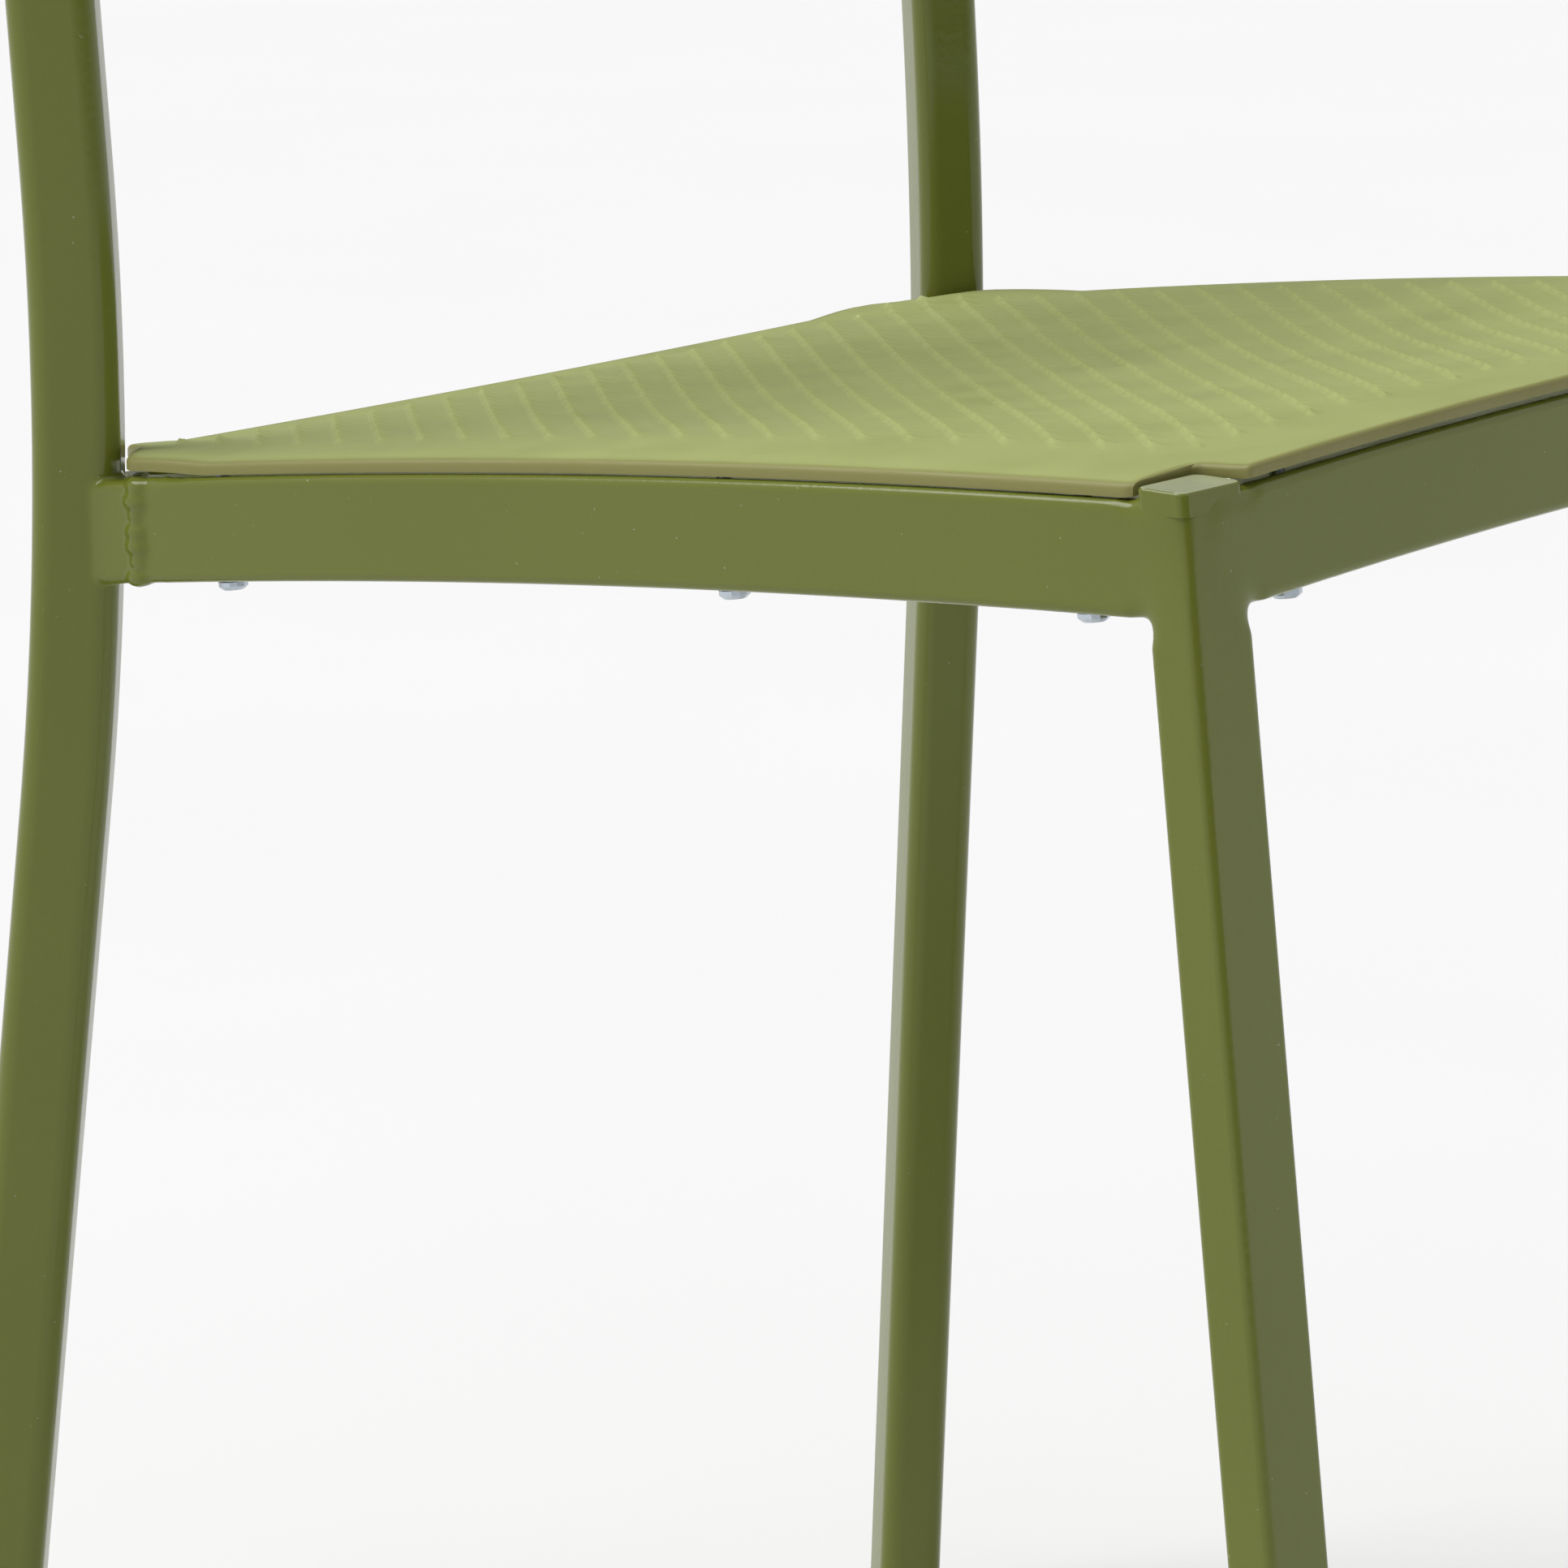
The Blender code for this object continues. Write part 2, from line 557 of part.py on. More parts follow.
def seat_screw_lines():
    """Axes of the screws that hold the seat, as (side rail, front rail, rear rail) groups."""
    up = Vector((0, math.sin(SEAT_TILT), math.cos(SEAT_TILT)))
    half = RAIL_HEIGHT / 2
    length = RAIL_HEIGHT + PANEL_CLEARANCE + SCREW_INTO_PANEL
    groups = {"side": {}, "front": [], "rear": []}
    for side in (1, -1):
        groups["side"][side] = []
        for share in SIDE_SCREW_PLACES:
            y = REAR_JOINT_Y + (FRONT_JOINT_Y - REAR_JOINT_Y) * share
            groups["side"][side].append(screw_line(side_rail_point(side, y) - up * half, up, length))
        front = front_rail_point(side * (FRONT_JOINT_X - FRONT_SCREW_INSET))
        rear = rear_rail_point(side * (REAR_JOINT_X - REAR_SCREW_INSET))
        groups["front"].append(screw_line(front - up * half, up, length))
        groups["rear"].append(screw_line(rear - up * half, up, length))
    return groups


def back_screw_lines(z):
    """Axes of the two screws through a back rail, square to its curved face."""
    length = BACK_RAIL_THICK + PANEL_CLEARANCE + SCREW_INTO_PANEL
    lines = []
    for side in (1, -1):
        post_x = post_point(1, z).x
        middle = back_rail_point(side * (post_x - BACK_SCREW_INSET), z)
        curve = -2 * BACK_BOW * middle.x / post_x ** 2
        forward = Vector((curve, -1, math.tan(BACK_TILT))).normalized()
        lines.append(screw_line(middle - forward * BACK_RAIL_THICK / 2, forward, length))
    return lines


def build_screw(name, line, steel):
    """A pan-head screw, turned about its axis."""
    start, tip = line
    direction = (tip - start).normalized()
    length = (tip - start).length - GAP
    head = SCREW_HEAD / 2
    shank = SCREW_SHANK / 2
    profile = ((0, length), (shank, length), (shank, -GAP), (head, -GAP), (head, -GAP - 0.0012),
               (head * 0.7, -GAP - SCREW_HEAD_HEIGHT), (0, -GAP - SCREW_HEAD_HEIGHT))
    mesh = bpy.data.meshes.new(name)
    edges = [(i, i + 1) for i in range(len(profile) - 1)]
    mesh.from_pydata([(radius, 0, height) for radius, height in profile], edges, [])
    screw = bpy.data.objects.new(name, mesh)
    CHAIR.objects.link(screw)
    mesh.materials.append(steel)
    screw.matrix_world = Matrix.Translation(start) @ direction.to_track_quat("Z", "Y").to_matrix().to_4x4()
    turned = screw.modifiers.new("turned", "SCREW")
    turned.steps = 12
    turned.render_steps = 12
    turned.use_merge_vertices = True
    turned.merge_threshold = 0.00005
    turned.use_smooth_shade = False
    return screw


def lengthen(line, before, after):
    """The same axis, longer at each end."""
    start, end = line
    direction = (end - start).normalized()
    return start - direction * before, end + direction * after


def main():
    clear_scene()
    paint = make_material("powder_coat_olive", (0.145, 0.184, 0.050), 0.32, 0.0)
    plastic = make_material("moulded_panel_olive", (0.290, 0.340, 0.130), 0.50, 0.0)
    nylon = make_material("glide_nylon", (0.030, 0.034, 0.024), 0.55, 0.0)
    steel = make_material("zinc_screw", (0.62, 0.66, 0.70), 0.30, 1.0)

    seat_lines = seat_screw_lines()
    lower = back_screw_lines(LOWER_BACK_RAIL_HEIGHT)
    upper = back_screw_lines(UPPER_BACK_RAIL_HEIGHT)

    posts = build_posts(paint, nylon)
    legs = build_legs(paint, nylon)
    holes = {"side": {side: [lengthen(line, 0.002, 0.0) for line in lines]
                      for side, lines in seat_lines["side"].items()}}
    build_side_rails(paint, posts, legs["side"], holes)
    rail = rounded_rectangle(RAIL_THICK, RAIL_HEIGHT, RAIL_CORNER)
    front = [front_rail_point(x) for x in spread(FRONT_JOINT_X, 9)]
    build_cross_rail("front_rail", rail, front, SEAT_TILT, paint, legs["front"],
                     [lengthen(line, 0.002, 0.0) for line in seat_lines["front"]])
    rear = [rear_rail_point(x) for x in spread(REAR_JOINT_X, 3)]
    build_cross_rail("rear_rail", rail, rear, SEAT_TILT, paint, posts,
                     [lengthen(line, 0.002, 0.0) for line in seat_lines["rear"]])
    back_rail = rounded_rectangle(BACK_RAIL_THICK, BACK_RAIL_HEIGHT, BACK_RAIL_CORNER)
    for name, z, lines in (("lower_back_rail", LOWER_BACK_RAIL_HEIGHT, lower),
                           ("upper_back_rail", UPPER_BACK_RAIL_HEIGHT, upper)):
        points = [back_rail_point(x, z) for x in spread(post_point(1, z).x, 9)]
        build_cross_rail(name, back_rail, points, BACK_TILT, paint, posts,
                         [lengthen(line, 0.002, 0.0) for line in lines])
    build_welds(paint, posts)

    under_seat = seat_lines["side"][1] + seat_lines["side"][-1] + seat_lines["front"] + seat_lines["rear"]
    build_seat(plastic, [lengthen(line, -RAIL_HEIGHT, TIP_CLEARANCE) for line in under_seat])
    build_back(plastic, [lengthen(line, -BACK_RAIL_THICK, TIP_CLEARANCE) for line in lower + upper])

    for side in (1, -1):
        for place, line in zip(("rear", "middle", "front"), seat_lines["side"][side]):
            build_screw("seat_screw_" + side_name(side) + "_" + place, line, steel)
    for place, lines in (("seat_screw_front", seat_lines["front"]), ("seat_screw_back", seat_lines["rear"]),
                         ("back_screw_lower", lower), ("back_screw_upper", upper)):
        for side, line in zip((1, -1), lines):
            build_screw(place + "_" + side_name(side), line, steel)


main()
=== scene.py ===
"""Stacking chair: looks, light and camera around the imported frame.

The chair faces -Y. Every tube is swept again with finer corners, the joints at seat height are
blended into continuous welds, and the panels get their ribbed relief as real geometry. The screws
and the glides keep the frame's own meshes.
"""
import math
import random

import bmesh
import bpy
import numpy as np
from mathutils import Matrix, Vector
from mathutils.bvhtree import BVHTree


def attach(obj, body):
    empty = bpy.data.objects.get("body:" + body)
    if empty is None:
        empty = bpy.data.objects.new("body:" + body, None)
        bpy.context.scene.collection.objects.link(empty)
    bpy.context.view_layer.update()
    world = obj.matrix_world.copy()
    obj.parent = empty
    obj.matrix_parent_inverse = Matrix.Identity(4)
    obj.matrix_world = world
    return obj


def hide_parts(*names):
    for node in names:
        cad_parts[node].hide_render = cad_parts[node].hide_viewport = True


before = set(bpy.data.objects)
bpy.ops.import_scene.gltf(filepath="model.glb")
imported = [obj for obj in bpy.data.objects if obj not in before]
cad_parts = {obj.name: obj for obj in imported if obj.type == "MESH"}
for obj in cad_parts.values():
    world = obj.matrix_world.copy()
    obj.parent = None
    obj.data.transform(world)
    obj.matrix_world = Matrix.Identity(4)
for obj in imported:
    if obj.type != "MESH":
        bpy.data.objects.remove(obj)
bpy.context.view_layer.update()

# The frame's sizes, as in the solids. A section is its width, its depth and its corner radius.
TOTAL_HEIGHT = 0.800
FRONT_JOINT = Vector((0.1873, -0.1762, 0.4530))  # middle of a front leg, at the rails
REAR_JOINT = Vector((0.1833, 0.2012, 0.4120))    # middle of a rear post, at the rails
POST = (0.0196, 0.0238, 0.0060)
POST_TURN = math.radians(37)      # how far a post's front face turns towards the middle of the seat
BEND_TURN = math.radians(21.8)    # how far the plane a post is bent in turns away from straight back
LOWER_SPLAY, UPPER_LEAN = 0.0996, 0.0771
BEND_HEIGHT, BEND_HALF, INWARD_LEAN = 0.013, 0.0892, 0.0198
LEG = (0.0233, 0.0140, 0.0024)
LEG_SPLAY_X, LEG_SPLAY_Y, LEG_ABOVE_RAIL = 0.0485, 0.153, 0.0026
RAIL = (0.014, 0.028, 0.0024)
SIDE_ARCH, FRONT_ARCH, REAR_RAIL_DROP = 0.0042, 0.0051, 0.0015
SIDE_RAIL_OUTSET, REAR_RAIL_FRONT = 0.0047, 0.0025
BACK_RAIL = (0.012, 0.022, 0.0022)
BACK_RAIL_SET, BACK_BOW = 0.0040, 0.020
BACK_RAIL_HEIGHTS = {"lower": 0.640, "upper": 0.764}
GLIDE_FOOT, GAP = 0.0045, 0.0003
PANEL_THICK, PANEL_CLEARANCE = 0.0028, 0.0004
NOTCH_CLEARANCE, POST_CLEARANCE, RIM_INSET = 0.0010, 0.0030, 0.0015
SEAT_CROWN, CROWN_REACH, SEAT_DISH = 0.0016, 0.014, 0.0055
SEAT_CORNER_LIFT, CORNER_LIFT_REACH = 0.0024, 0.052
SEAT_REAR_OVERHANG, SEAT_REAR_SETIN = 0.0015, 0.0283
BACK_PANEL_BOTTOM, BACK_PANEL_TOP, BACK_PANEL_SIDE_GAP = 0.616, 0.788, 0.0040
BACK_PANEL_ROUNDING = 0.026

SEAT_RUN = REAR_JOINT.y - FRONT_JOINT.y
SEAT_SLOPE = (FRONT_JOINT.z - REAR_JOINT.z) / SEAT_RUN
SEAT_TILT = math.atan(SEAT_SLOPE)
BACK_TILT = math.atan(UPPER_LEAN * math.cos(BEND_TURN))
LEG_TOP = FRONT_JOINT.z + RAIL[1] / 2 + LEG_ABOVE_RAIL
REAR_RAIL_SET = RAIL[0] / 2 - REAR_RAIL_FRONT
SIDE_RAIL_REAR_X = REAR_JOINT.x + SIDE_RAIL_OUTSET - RAIL[0] / 2
SIDE_RAIL_FRONT_X = FRONT_JOINT.x + LEG[0] / 2 - RAIL[0] / 2

# How finely the tubes are swept, and how their free ends are rounded
CORNER_STEPS = 7
END_STEPS = 5
STRAIGHT_STEPS, STUB_STEPS = 6, 8
BEND_STEPS = 36
SIDE_RAIL_STEPS, FRONT_RAIL_STEPS, REAR_RAIL_STEPS, BACK_RAIL_STEPS = 30, 36, 12, 48
POST_END_ROUND, LEG_END_ROUND, CAP_ROUND = 0.0016, 0.0013, 0.0009
CAP_LIP = 0.0002                  # the leg's top plate is this much wider than its tube
CAP_DEPTH = 0.003                 # from the rail's top down to where the plate's skin starts
CAP_FACING_UP = 0.9               # faces that look up this squarely get the paler paint, a painted reflection

# The joints: from a joint's middle to where its skin hands over to each tube
LEG_TRIM, RAIL_TRIM, POST_TRIM, REAR_TRIM = 0.048, 0.046, 0.044, 0.056
SPARE = 0.008                     # the joint's stubs run on this far before they are cut flat
RAIL_IN_POST = 0.004              # a side rail's stub ends this far in front of the post's middle
FRONT_VOXEL, FRONT_BLEND, FRONT_ROUNDS = 0.0008, 0.0060, 45
REAR_VOXEL, REAR_BLEND, REAR_ROUNDS = 0.0007, 0.0030, 6
JOINT_SHARP, TUBE_SHARP = 70, 50  # degrees

# The weld bead at a rear post: places in front of the post's middle, and half sizes of its lumps
BEAD_LUMPS, BEAD_HALF_HEIGHT = 7, 0.0122
BEAD_FORWARD, BEAD_WANDER, BEAD_SINK = 0.0270, 0.0012, 0.0013
BEAD_LUMP = Vector((0.0040, 0.0048, 0.0027))
TURN_LUMPS, TURN_FORWARD, TURN_SINK = 4, 0.0262, 0.001
TURN_STEP_X, TURN_STEP_Y, TURN_LUMP_SINK = 0.0035, 0.0030, 0.0010
TURN_LUMP = Vector((0.0028, 0.0036, 0.0019))
RUN_LUMPS, RUN_FORWARD, RUN_STEP = 3, 0.033, 0.0042
RUN_SINK, RUN_LUMP_SINK = 0.0018, 0.0006
RUN_LUMP = Vector((0.0016, 0.0030, 0.0010))

# The relief of the panels: diagonal bands, each a step with a row of teeth behind it
BAND_PITCH, BAND_START = 0.01495, 0.1821
RIB_CELL = BAND_PITCH / 12        # the mesh's grid, which the bands' edges run through
TOOTH_PITCH, TOOTH_PHASE, TOOTH_REACH = 0.0096, 0.0167, 0.0075
STEP_HEIGHT, TOOTH_HEIGHT = 0.00030, 0.00120
RIB_SHARE = 0.06                  # how much of a tooth's height runs on as a faint rib
FIELD_HALF, FIELD_FADE = 0.165, 0.004
FIELD_FRONT_MARGIN, FIELD_REAR_MARGIN = 0.027, 0.012
BACK_FIELD_MARGIN = 0.035

# The panels' edges
RIM_ROUNDING, RIM_DROP = 0.0013, 0.00028
RIM_DROP_INNER, RIM_DROP_OUTER = 0.006, 0.014
RIM_TINT_REACH = 0.0035
RIM_LEAST = 0.008                 # least width of the margin beside the grid
EDGE_BAND = 0.003                 # width of the finer rows along the front and rear edges
EDGE_STEPS = (0.0, 0.00012, 0.0003, 0.0006, 0.001, 0.0016, 0.0024)
SEAT_MARGIN_SHARES = (0.12, 0.25, 0.4, 0.55, 0.7, 0.82, 0.90, 0.945, 0.97, 0.985, 0.994, 1.0)
BACK_MARGIN_SHARES = (0.15, 0.3, 0.45, 0.6, 0.72, 0.82, 0.90, 0.945, 0.97, 0.985, 0.994, 1.0)
SEAT_CORNER_RADII = (0.002, 0.004, 0.004, 0.004, 0.006, 0.010)
TINY = 1e-9


# Where the frame runs -------------------------------------------------------------------------

def post_lean(height):
    half_change = (UPPER_LEAN + LOWER_SPLAY) / 2
    middle_slope = (UPPER_LEAN - LOWER_SPLAY) / 2
    reach = max(-1.0, min(1.0, (height - BEND_HEIGHT) / BEND_HALF))
    lean = BEND_HALF * (middle_slope * reach + half_change * reach * reach / 2)
    beyond = height - BEND_HEIGHT - reach * BEND_HALF
    return lean + beyond * (UPPER_LEAN if beyond > 0 else -LOWER_SPLAY)


def post_point(side, z):
    height = z - REAR_JOINT.z
    lean = post_lean(height)
    across = REAR_JOINT.x + math.sin(BEND_TURN) * lean - INWARD_LEAN * height
    return Vector((side * across, REAR_JOINT.y + math.cos(BEND_TURN) * lean, z))


def post_frame(side, z):
    return Matrix.Translation(post_point(side, z)) @ Matrix.Rotation(-side * POST_TURN, 4, "Z")


def post_frames(side, low, high):
    bend_low = REAR_JOINT.z + BEND_HEIGHT - BEND_HALF
    bend_high = REAR_JOINT.z + BEND_HEIGHT + BEND_HALF
    apart = 0.001
    bend = [z for z in steps_between(bend_low, bend_high, BEND_STEPS) if low + apart < z < high - apart]
    return [post_frame(side, z) for z in [low] + bend + [high]]


def leg_point(side, z):
    drop = FRONT_JOINT.z - z
    return Vector((side * (FRONT_JOINT.x + LEG_SPLAY_X * drop), FRONT_JOINT.y - LEG_SPLAY_Y * drop, z))


def leg_frames(side, low, high, count):
    return [Matrix.Translation(leg_point(side, z)) for z in steps_between(low, high, count)]


def along_seat(y):
    """From -1 at the front legs to 1 at the rear posts."""
    return (2 * y - REAR_JOINT.y - FRONT_JOINT.y) / SEAT_RUN


def seat_plane(y):
    return REAR_JOINT.z + SEAT_SLOPE * (REAR_JOINT.y - y)


def side_rail_point(side, y):
    share = (REAR_JOINT.y - y) / SEAT_RUN
    across = SIDE_RAIL_REAR_X + (SIDE_RAIL_FRONT_X - SIDE_RAIL_REAR_X) * share
    return Vector((side * across, y, seat_plane(y) + SIDE_ARCH * (1 - along_seat(y) ** 2)))


def side_rail_frames(side, start, end, count):
    turn = Matrix.Rotation(math.pi / 2, 4, "X")
    return [Matrix.Translation(side_rail_point(side, y)) @ turn for y in steps_between(start, end, count)]


def cross_frame(point, tilt):
    upright = Matrix(((0, 0, 1, 0), (1, 0, 0, 0), (0, 1, 0, 0), (0, 0, 0, 1)))
    return Matrix.Translation(point) @ Matrix.Rotation(-tilt, 4, "X") @ upright


def front_rail_frame(x):
    z = FRONT_JOINT.z + FRONT_ARCH * (1 - (x / FRONT_JOINT.x) ** 2)
    return cross_frame(Vector((x, FRONT_JOINT.y, z)), SEAT_TILT)


def rear_rail_frame(x):
    y = REAR_JOINT.y + REAR_RAIL_SET
    return cross_frame(Vector((x, y, seat_plane(y) - REAR_RAIL_DROP)), SEAT_TILT)


def back_rail_point(x, z):
    post = post_point(1, z)
    return Vector((x, post.y + BACK_RAIL_SET + BACK_BOW * (1 - (x / post.x) ** 2), z))


def back_rail_frame(x, z):
    return cross_frame(back_rail_point(x, z), BACK_TILT)


# Mesh helpers -----------------------------------------------------------------------------------

def steps_between(a, b, count):
    return [a + (b - a) * i / count for i in range(count + 1)]


def rounded_rectangle(width, depth, radius):
    points = []
    for corner, (sx, sy) in enumerate(((1, 1), (-1, 1), (-1, -1), (1, -1))):
        centre = Vector((sx * (width / 2 - radius), sy * (depth / 2 - radius)))
        for step in range(CORNER_STEPS + 1):
            angle = math.pi / 2 * (corner + step / CORNER_STEPS)
            points.append(centre + radius * Vector((math.cos(angle), math.sin(angle))))
    return points


def sweep_mesh(outline, frames, end_round=0.0):
    """A closed tube skin through the frames, its last edge rounded by end_round."""
    width = max(p.x for p in outline)
    depth = max(p.y for p in outline)

    def ring(place, inset, shift):
        return [place @ Vector((p.x * (1 - inset / width), p.y * (1 - inset / depth), 0)) + shift
                for p in outline]

    rings = [ring(place, 0, Vector()) for place in (frames[:-1] if end_round else frames)]
    if end_round:
        back = (frames[-2].translation - frames[-1].translation).normalized() * end_round
        for angle in steps_between(0.0, math.pi / 2, END_STEPS):
            rings.append(ring(frames[-1], end_round * (1 - math.cos(angle)), back * (1 - math.sin(angle))))
    count = len(outline)
    verts = [tuple(p) for r in rings for p in r]
    faces = []
    for k in range(len(rings) - 1):
        for i in range(count):
            j = (i + 1) % count
            faces.append((k * count + i, k * count + j, (k + 1) * count + j, (k + 1) * count + i))
    faces.append(tuple(range(count - 1, -1, -1)))
    faces.append(tuple((len(rings) - 1) * count + i for i in range(count)))
    mesh = bpy.data.meshes.new("sweep")
    mesh.from_pydata(verts, [], faces)
    work = bmesh.new()
    work.from_mesh(mesh)
    bmesh.ops.recalc_face_normals(work, faces=work.faces)
    work.to_mesh(mesh)
    work.free()
    return mesh


def place_piece(name, mesh, material, nodes=(), sharp=TUBE_SHARP):
    """A piece of the body that stands in for the named nodes of the frame."""
    made = bpy.data.objects.new(name, mesh)
    bpy.context.scene.collection.objects.link(made)
    mesh.materials.clear()
    mesh.materials.append(material)
    mesh.shade_smooth()
    mesh.set_sharp_from_angle(angle=math.radians(sharp))
    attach(made, "root")
    if nodes:
        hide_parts(*nodes)
    return made


def weighted(obj):
    """Shades flat faces flat, with only the rounded corners turning."""
    modifier = obj.modifiers.new("even_shading", "WEIGHTED_NORMAL")
    modifier.keep_sharp = True
    modifier.weight = 100


# Welded joints ------------------------------------------------------------------------------------

def remeshed(stubs, blobs, voxel):
    """One even skin around the stubs and the blobs."""
    work = bmesh.new()
    for mesh in stubs:
        work.from_mesh(mesh)
    for centre, size in blobs:
        place = Matrix.Translation(centre) @ Matrix.Diagonal((*size, 1))
        bmesh.ops.create_icosphere(work, subdivisions=3, radius=1.0, matrix=place)
    lump = bpy.data.meshes.new("lump")
    work.to_mesh(lump)
    work.free()
    holder = bpy.data.objects.new("lump", lump)
    bpy.context.scene.collection.objects.link(holder)
    remesh = holder.modifiers.new("skin", "REMESH")
    remesh.mode = "VOXEL"
    remesh.voxel_size = voxel
    remesh.adaptivity = 0.0
    graph = bpy.context.evaluated_depsgraph_get()
    skin = bpy.data.meshes.new_from_object(holder.evaluated_get(graph), depsgraph=graph)
    bpy.data.objects.remove(holder, do_unlink=True)
    return skin


def nearest_surfaces(coords, stubs):
    """For each point: its distances to the nearest and second nearest stub, and the nearest place."""
    first = np.full(len(coords), 9.0)
    second = np.full(len(coords), 9.0)
    target = coords.copy()
    for mesh in stubs:
        tree = BVHTree.FromPolygons([v.co.copy() for v in mesh.vertices],
                                    [tuple(p.vertices) for p in mesh.polygons])
        for i, point in enumerate(coords):
            place, _, _, distance = tree.find_nearest(point)
            if distance < first[i]:
                second[i] = first[i]
                first[i] = distance
                target[i] = place
            elif distance < second[i]:
                second[i] = distance
    return first, second, target


def cut_flat(mesh, cuts):
    """Cuts a mesh off beyond each plane and closes it there."""
    work = bmesh.new()
    work.from_mesh(mesh)
    for point, outward in cuts:
        parts = list(work.verts) + list(work.edges) + list(work.faces)
        bmesh.ops.bisect_plane(work, geom=parts, plane_co=point, plane_no=outward, clear_outer=True)
        rim = [edge for edge in work.edges if edge.is_boundary]
        bmesh.ops.holes_fill(work, edges=rim, sides=0)
    bmesh.ops.recalc_face_normals(work, faces=work.faces)
    work.to_mesh(mesh)
    work.free()


def joint_mesh(stubs, cuts, voxel, blend, rounds, blobs=()):
    """One skin around several stubs, soft where they meet, exact elsewhere, cut flat at its ends."""
    skin = remeshed(stubs, blobs, voxel)
    count = len(skin.vertices)
    coords = np.empty(count * 3)
    skin.vertices.foreach_get("co", coords)
    coords = coords.reshape(-1, 3)
    first, second, target = nearest_surfaces(coords, stubs)
    lumpy = np.zeros(count)
    for centre, size in blobs:
        far = np.linalg.norm((coords - np.array(centre)) / np.array(size), axis=1)
        lumpy = np.maximum(lumpy, np.clip(2.2 - far, 0, 1))
    soft = np.clip(1.25 - second / blend, 0, 1)
    soft = np.maximum(soft * soft * (3 - 2 * soft), lumpy)
    on_surface = first < voxel * 1.2
    snap = (1 - np.clip(lumpy * 3, 0, 1)) * on_surface
    coords += (target - coords) * snap[:, None]
    edges = np.empty(len(skin.edges) * 2, dtype=int)
    skin.edges.foreach_get("vertices", edges)
    edges = edges.reshape(-1, 2)
    degree = np.bincount(edges.ravel(), minlength=count)[:, None]
    for _ in range(rounds):
        total = np.zeros_like(coords)
        np.add.at(total, edges[:, 0], coords[edges[:, 1]])
        np.add.at(total, edges[:, 1], coords[edges[:, 0]])
        coords += (total / np.maximum(degree, 1) - coords) * (0.5 * soft)[:, None]
    skin.vertices.foreach_set("co", coords.ravel())
    cut_flat(skin, cuts)
    return skin


# Materials ------------------------------------------------------------------------------------------

def new_material(name):
    material = bpy.data.materials.new(name)
    material.use_nodes = True
    return material, material.node_tree, material.node_tree.nodes["Principled BSDF"]


def node(tree, kind, **values):
    made = tree.nodes.new(kind)
    for key, value in values.items():
        if key in made.inputs:
            made.inputs[key].default_value = value
        else:
            setattr(made, key, value)
    return made


def noise(tree, coords, scale, detail=3.0):
    made = node(tree, "ShaderNodeTexNoise", Scale=scale, Detail=detail)
    tree.links.new(coords.outputs["Object"], made.inputs["Vector"])
    return made.outputs["Fac"]


def ranged(tree, source, low, high, to_low, to_high):
    limits = {"From Min": low, "From Max": high, "To Min": to_low, "To Max": to_high}
    made = node(tree, "ShaderNodeMapRange", **limits)
    tree.links.new(source, made.inputs["Value"])
    return made


def blend_colours(tree, factor, first, second):
    """first where the factor is 0, second where it is 1. Each is a colour or an output."""
    made = node(tree, "ShaderNodeMix", data_type="RGBA")
    for index, value in ((6, first), (7, second)):
        if isinstance(value, tuple):
            made.inputs[index].default_value = (*value, 1.0)
        else:
            tree.links.new(value, made.inputs[index])
    tree.links.new(factor, made.inputs[0])
    return made.outputs[2]


def surface(name, tones, speck, roughness, peel, peel_scale, grain_scale):
    """A coloured surface with a slow drift of tone, fine grain, stray specks and a bumpy skin."""
    material, tree, shader = new_material(name)
    coords = node(tree, "ShaderNodeTexCoord")
    dark, light = tones
    drift = ranged(tree, noise(tree, coords, 9.0), 0.35, 0.65, 0.0, 1.0)
    colour = blend_colours(tree, drift.outputs["Result"], dark, light)
    grain = ranged(tree, noise(tree, coords, grain_scale, 2.0), 0.3, 0.7, 0.0, 0.12)
    colour = blend_colours(tree, grain.outputs["Result"], colour, tuple(0.75 * c for c in dark))
    dots = ranged(tree, noise(tree, coords, 750.0, 1.0), 0.79, 0.83, 0.0, 0.5)
    colour = blend_colours(tree, dots.outputs["Result"], colour, speck)
    tree.links.new(colour, shader.inputs["Base Color"])
    worn = ranged(tree, noise(tree, coords, 35.0), 0.3, 0.7, roughness * 0.85, roughness * 1.2)
    tree.links.new(worn.outputs["Result"], shader.inputs["Roughness"])
    bump = node(tree, "ShaderNodeBump", Strength=peel, Distance=0.0002)
    tree.links.new(noise(tree, coords, peel_scale, 2.0), bump.inputs["Height"])
    tree.links.new(bump.outputs["Normal"], shader.inputs["Normal"])
    return material, tree, shader


def paint_material():
    """Glossy powder coat with orange peel."""
    tones = (0.128, 0.149, 0.018), (0.134, 0.156, 0.020)
    material, _, shader = surface("powder_coat", tones, (0.42, 0.45, 0.34), 0.15, 0.22, 420.0, 1500.0)
    shader.inputs["Specular IOR Level"].default_value = 0.38
    return material


def leg_top_painted_reflection_material():
    """A paler paint on the ground tops of the front legs, a painted reflection on their faces that look up.
    """
    tones = (0.38, 0.41, 0.25), (0.42, 0.45, 0.28)
    return surface("powder_coat_painted_reflection", tones, (0.6, 0.62, 0.5), 0.20, 0.25, 500.0, 1500.0)[0]


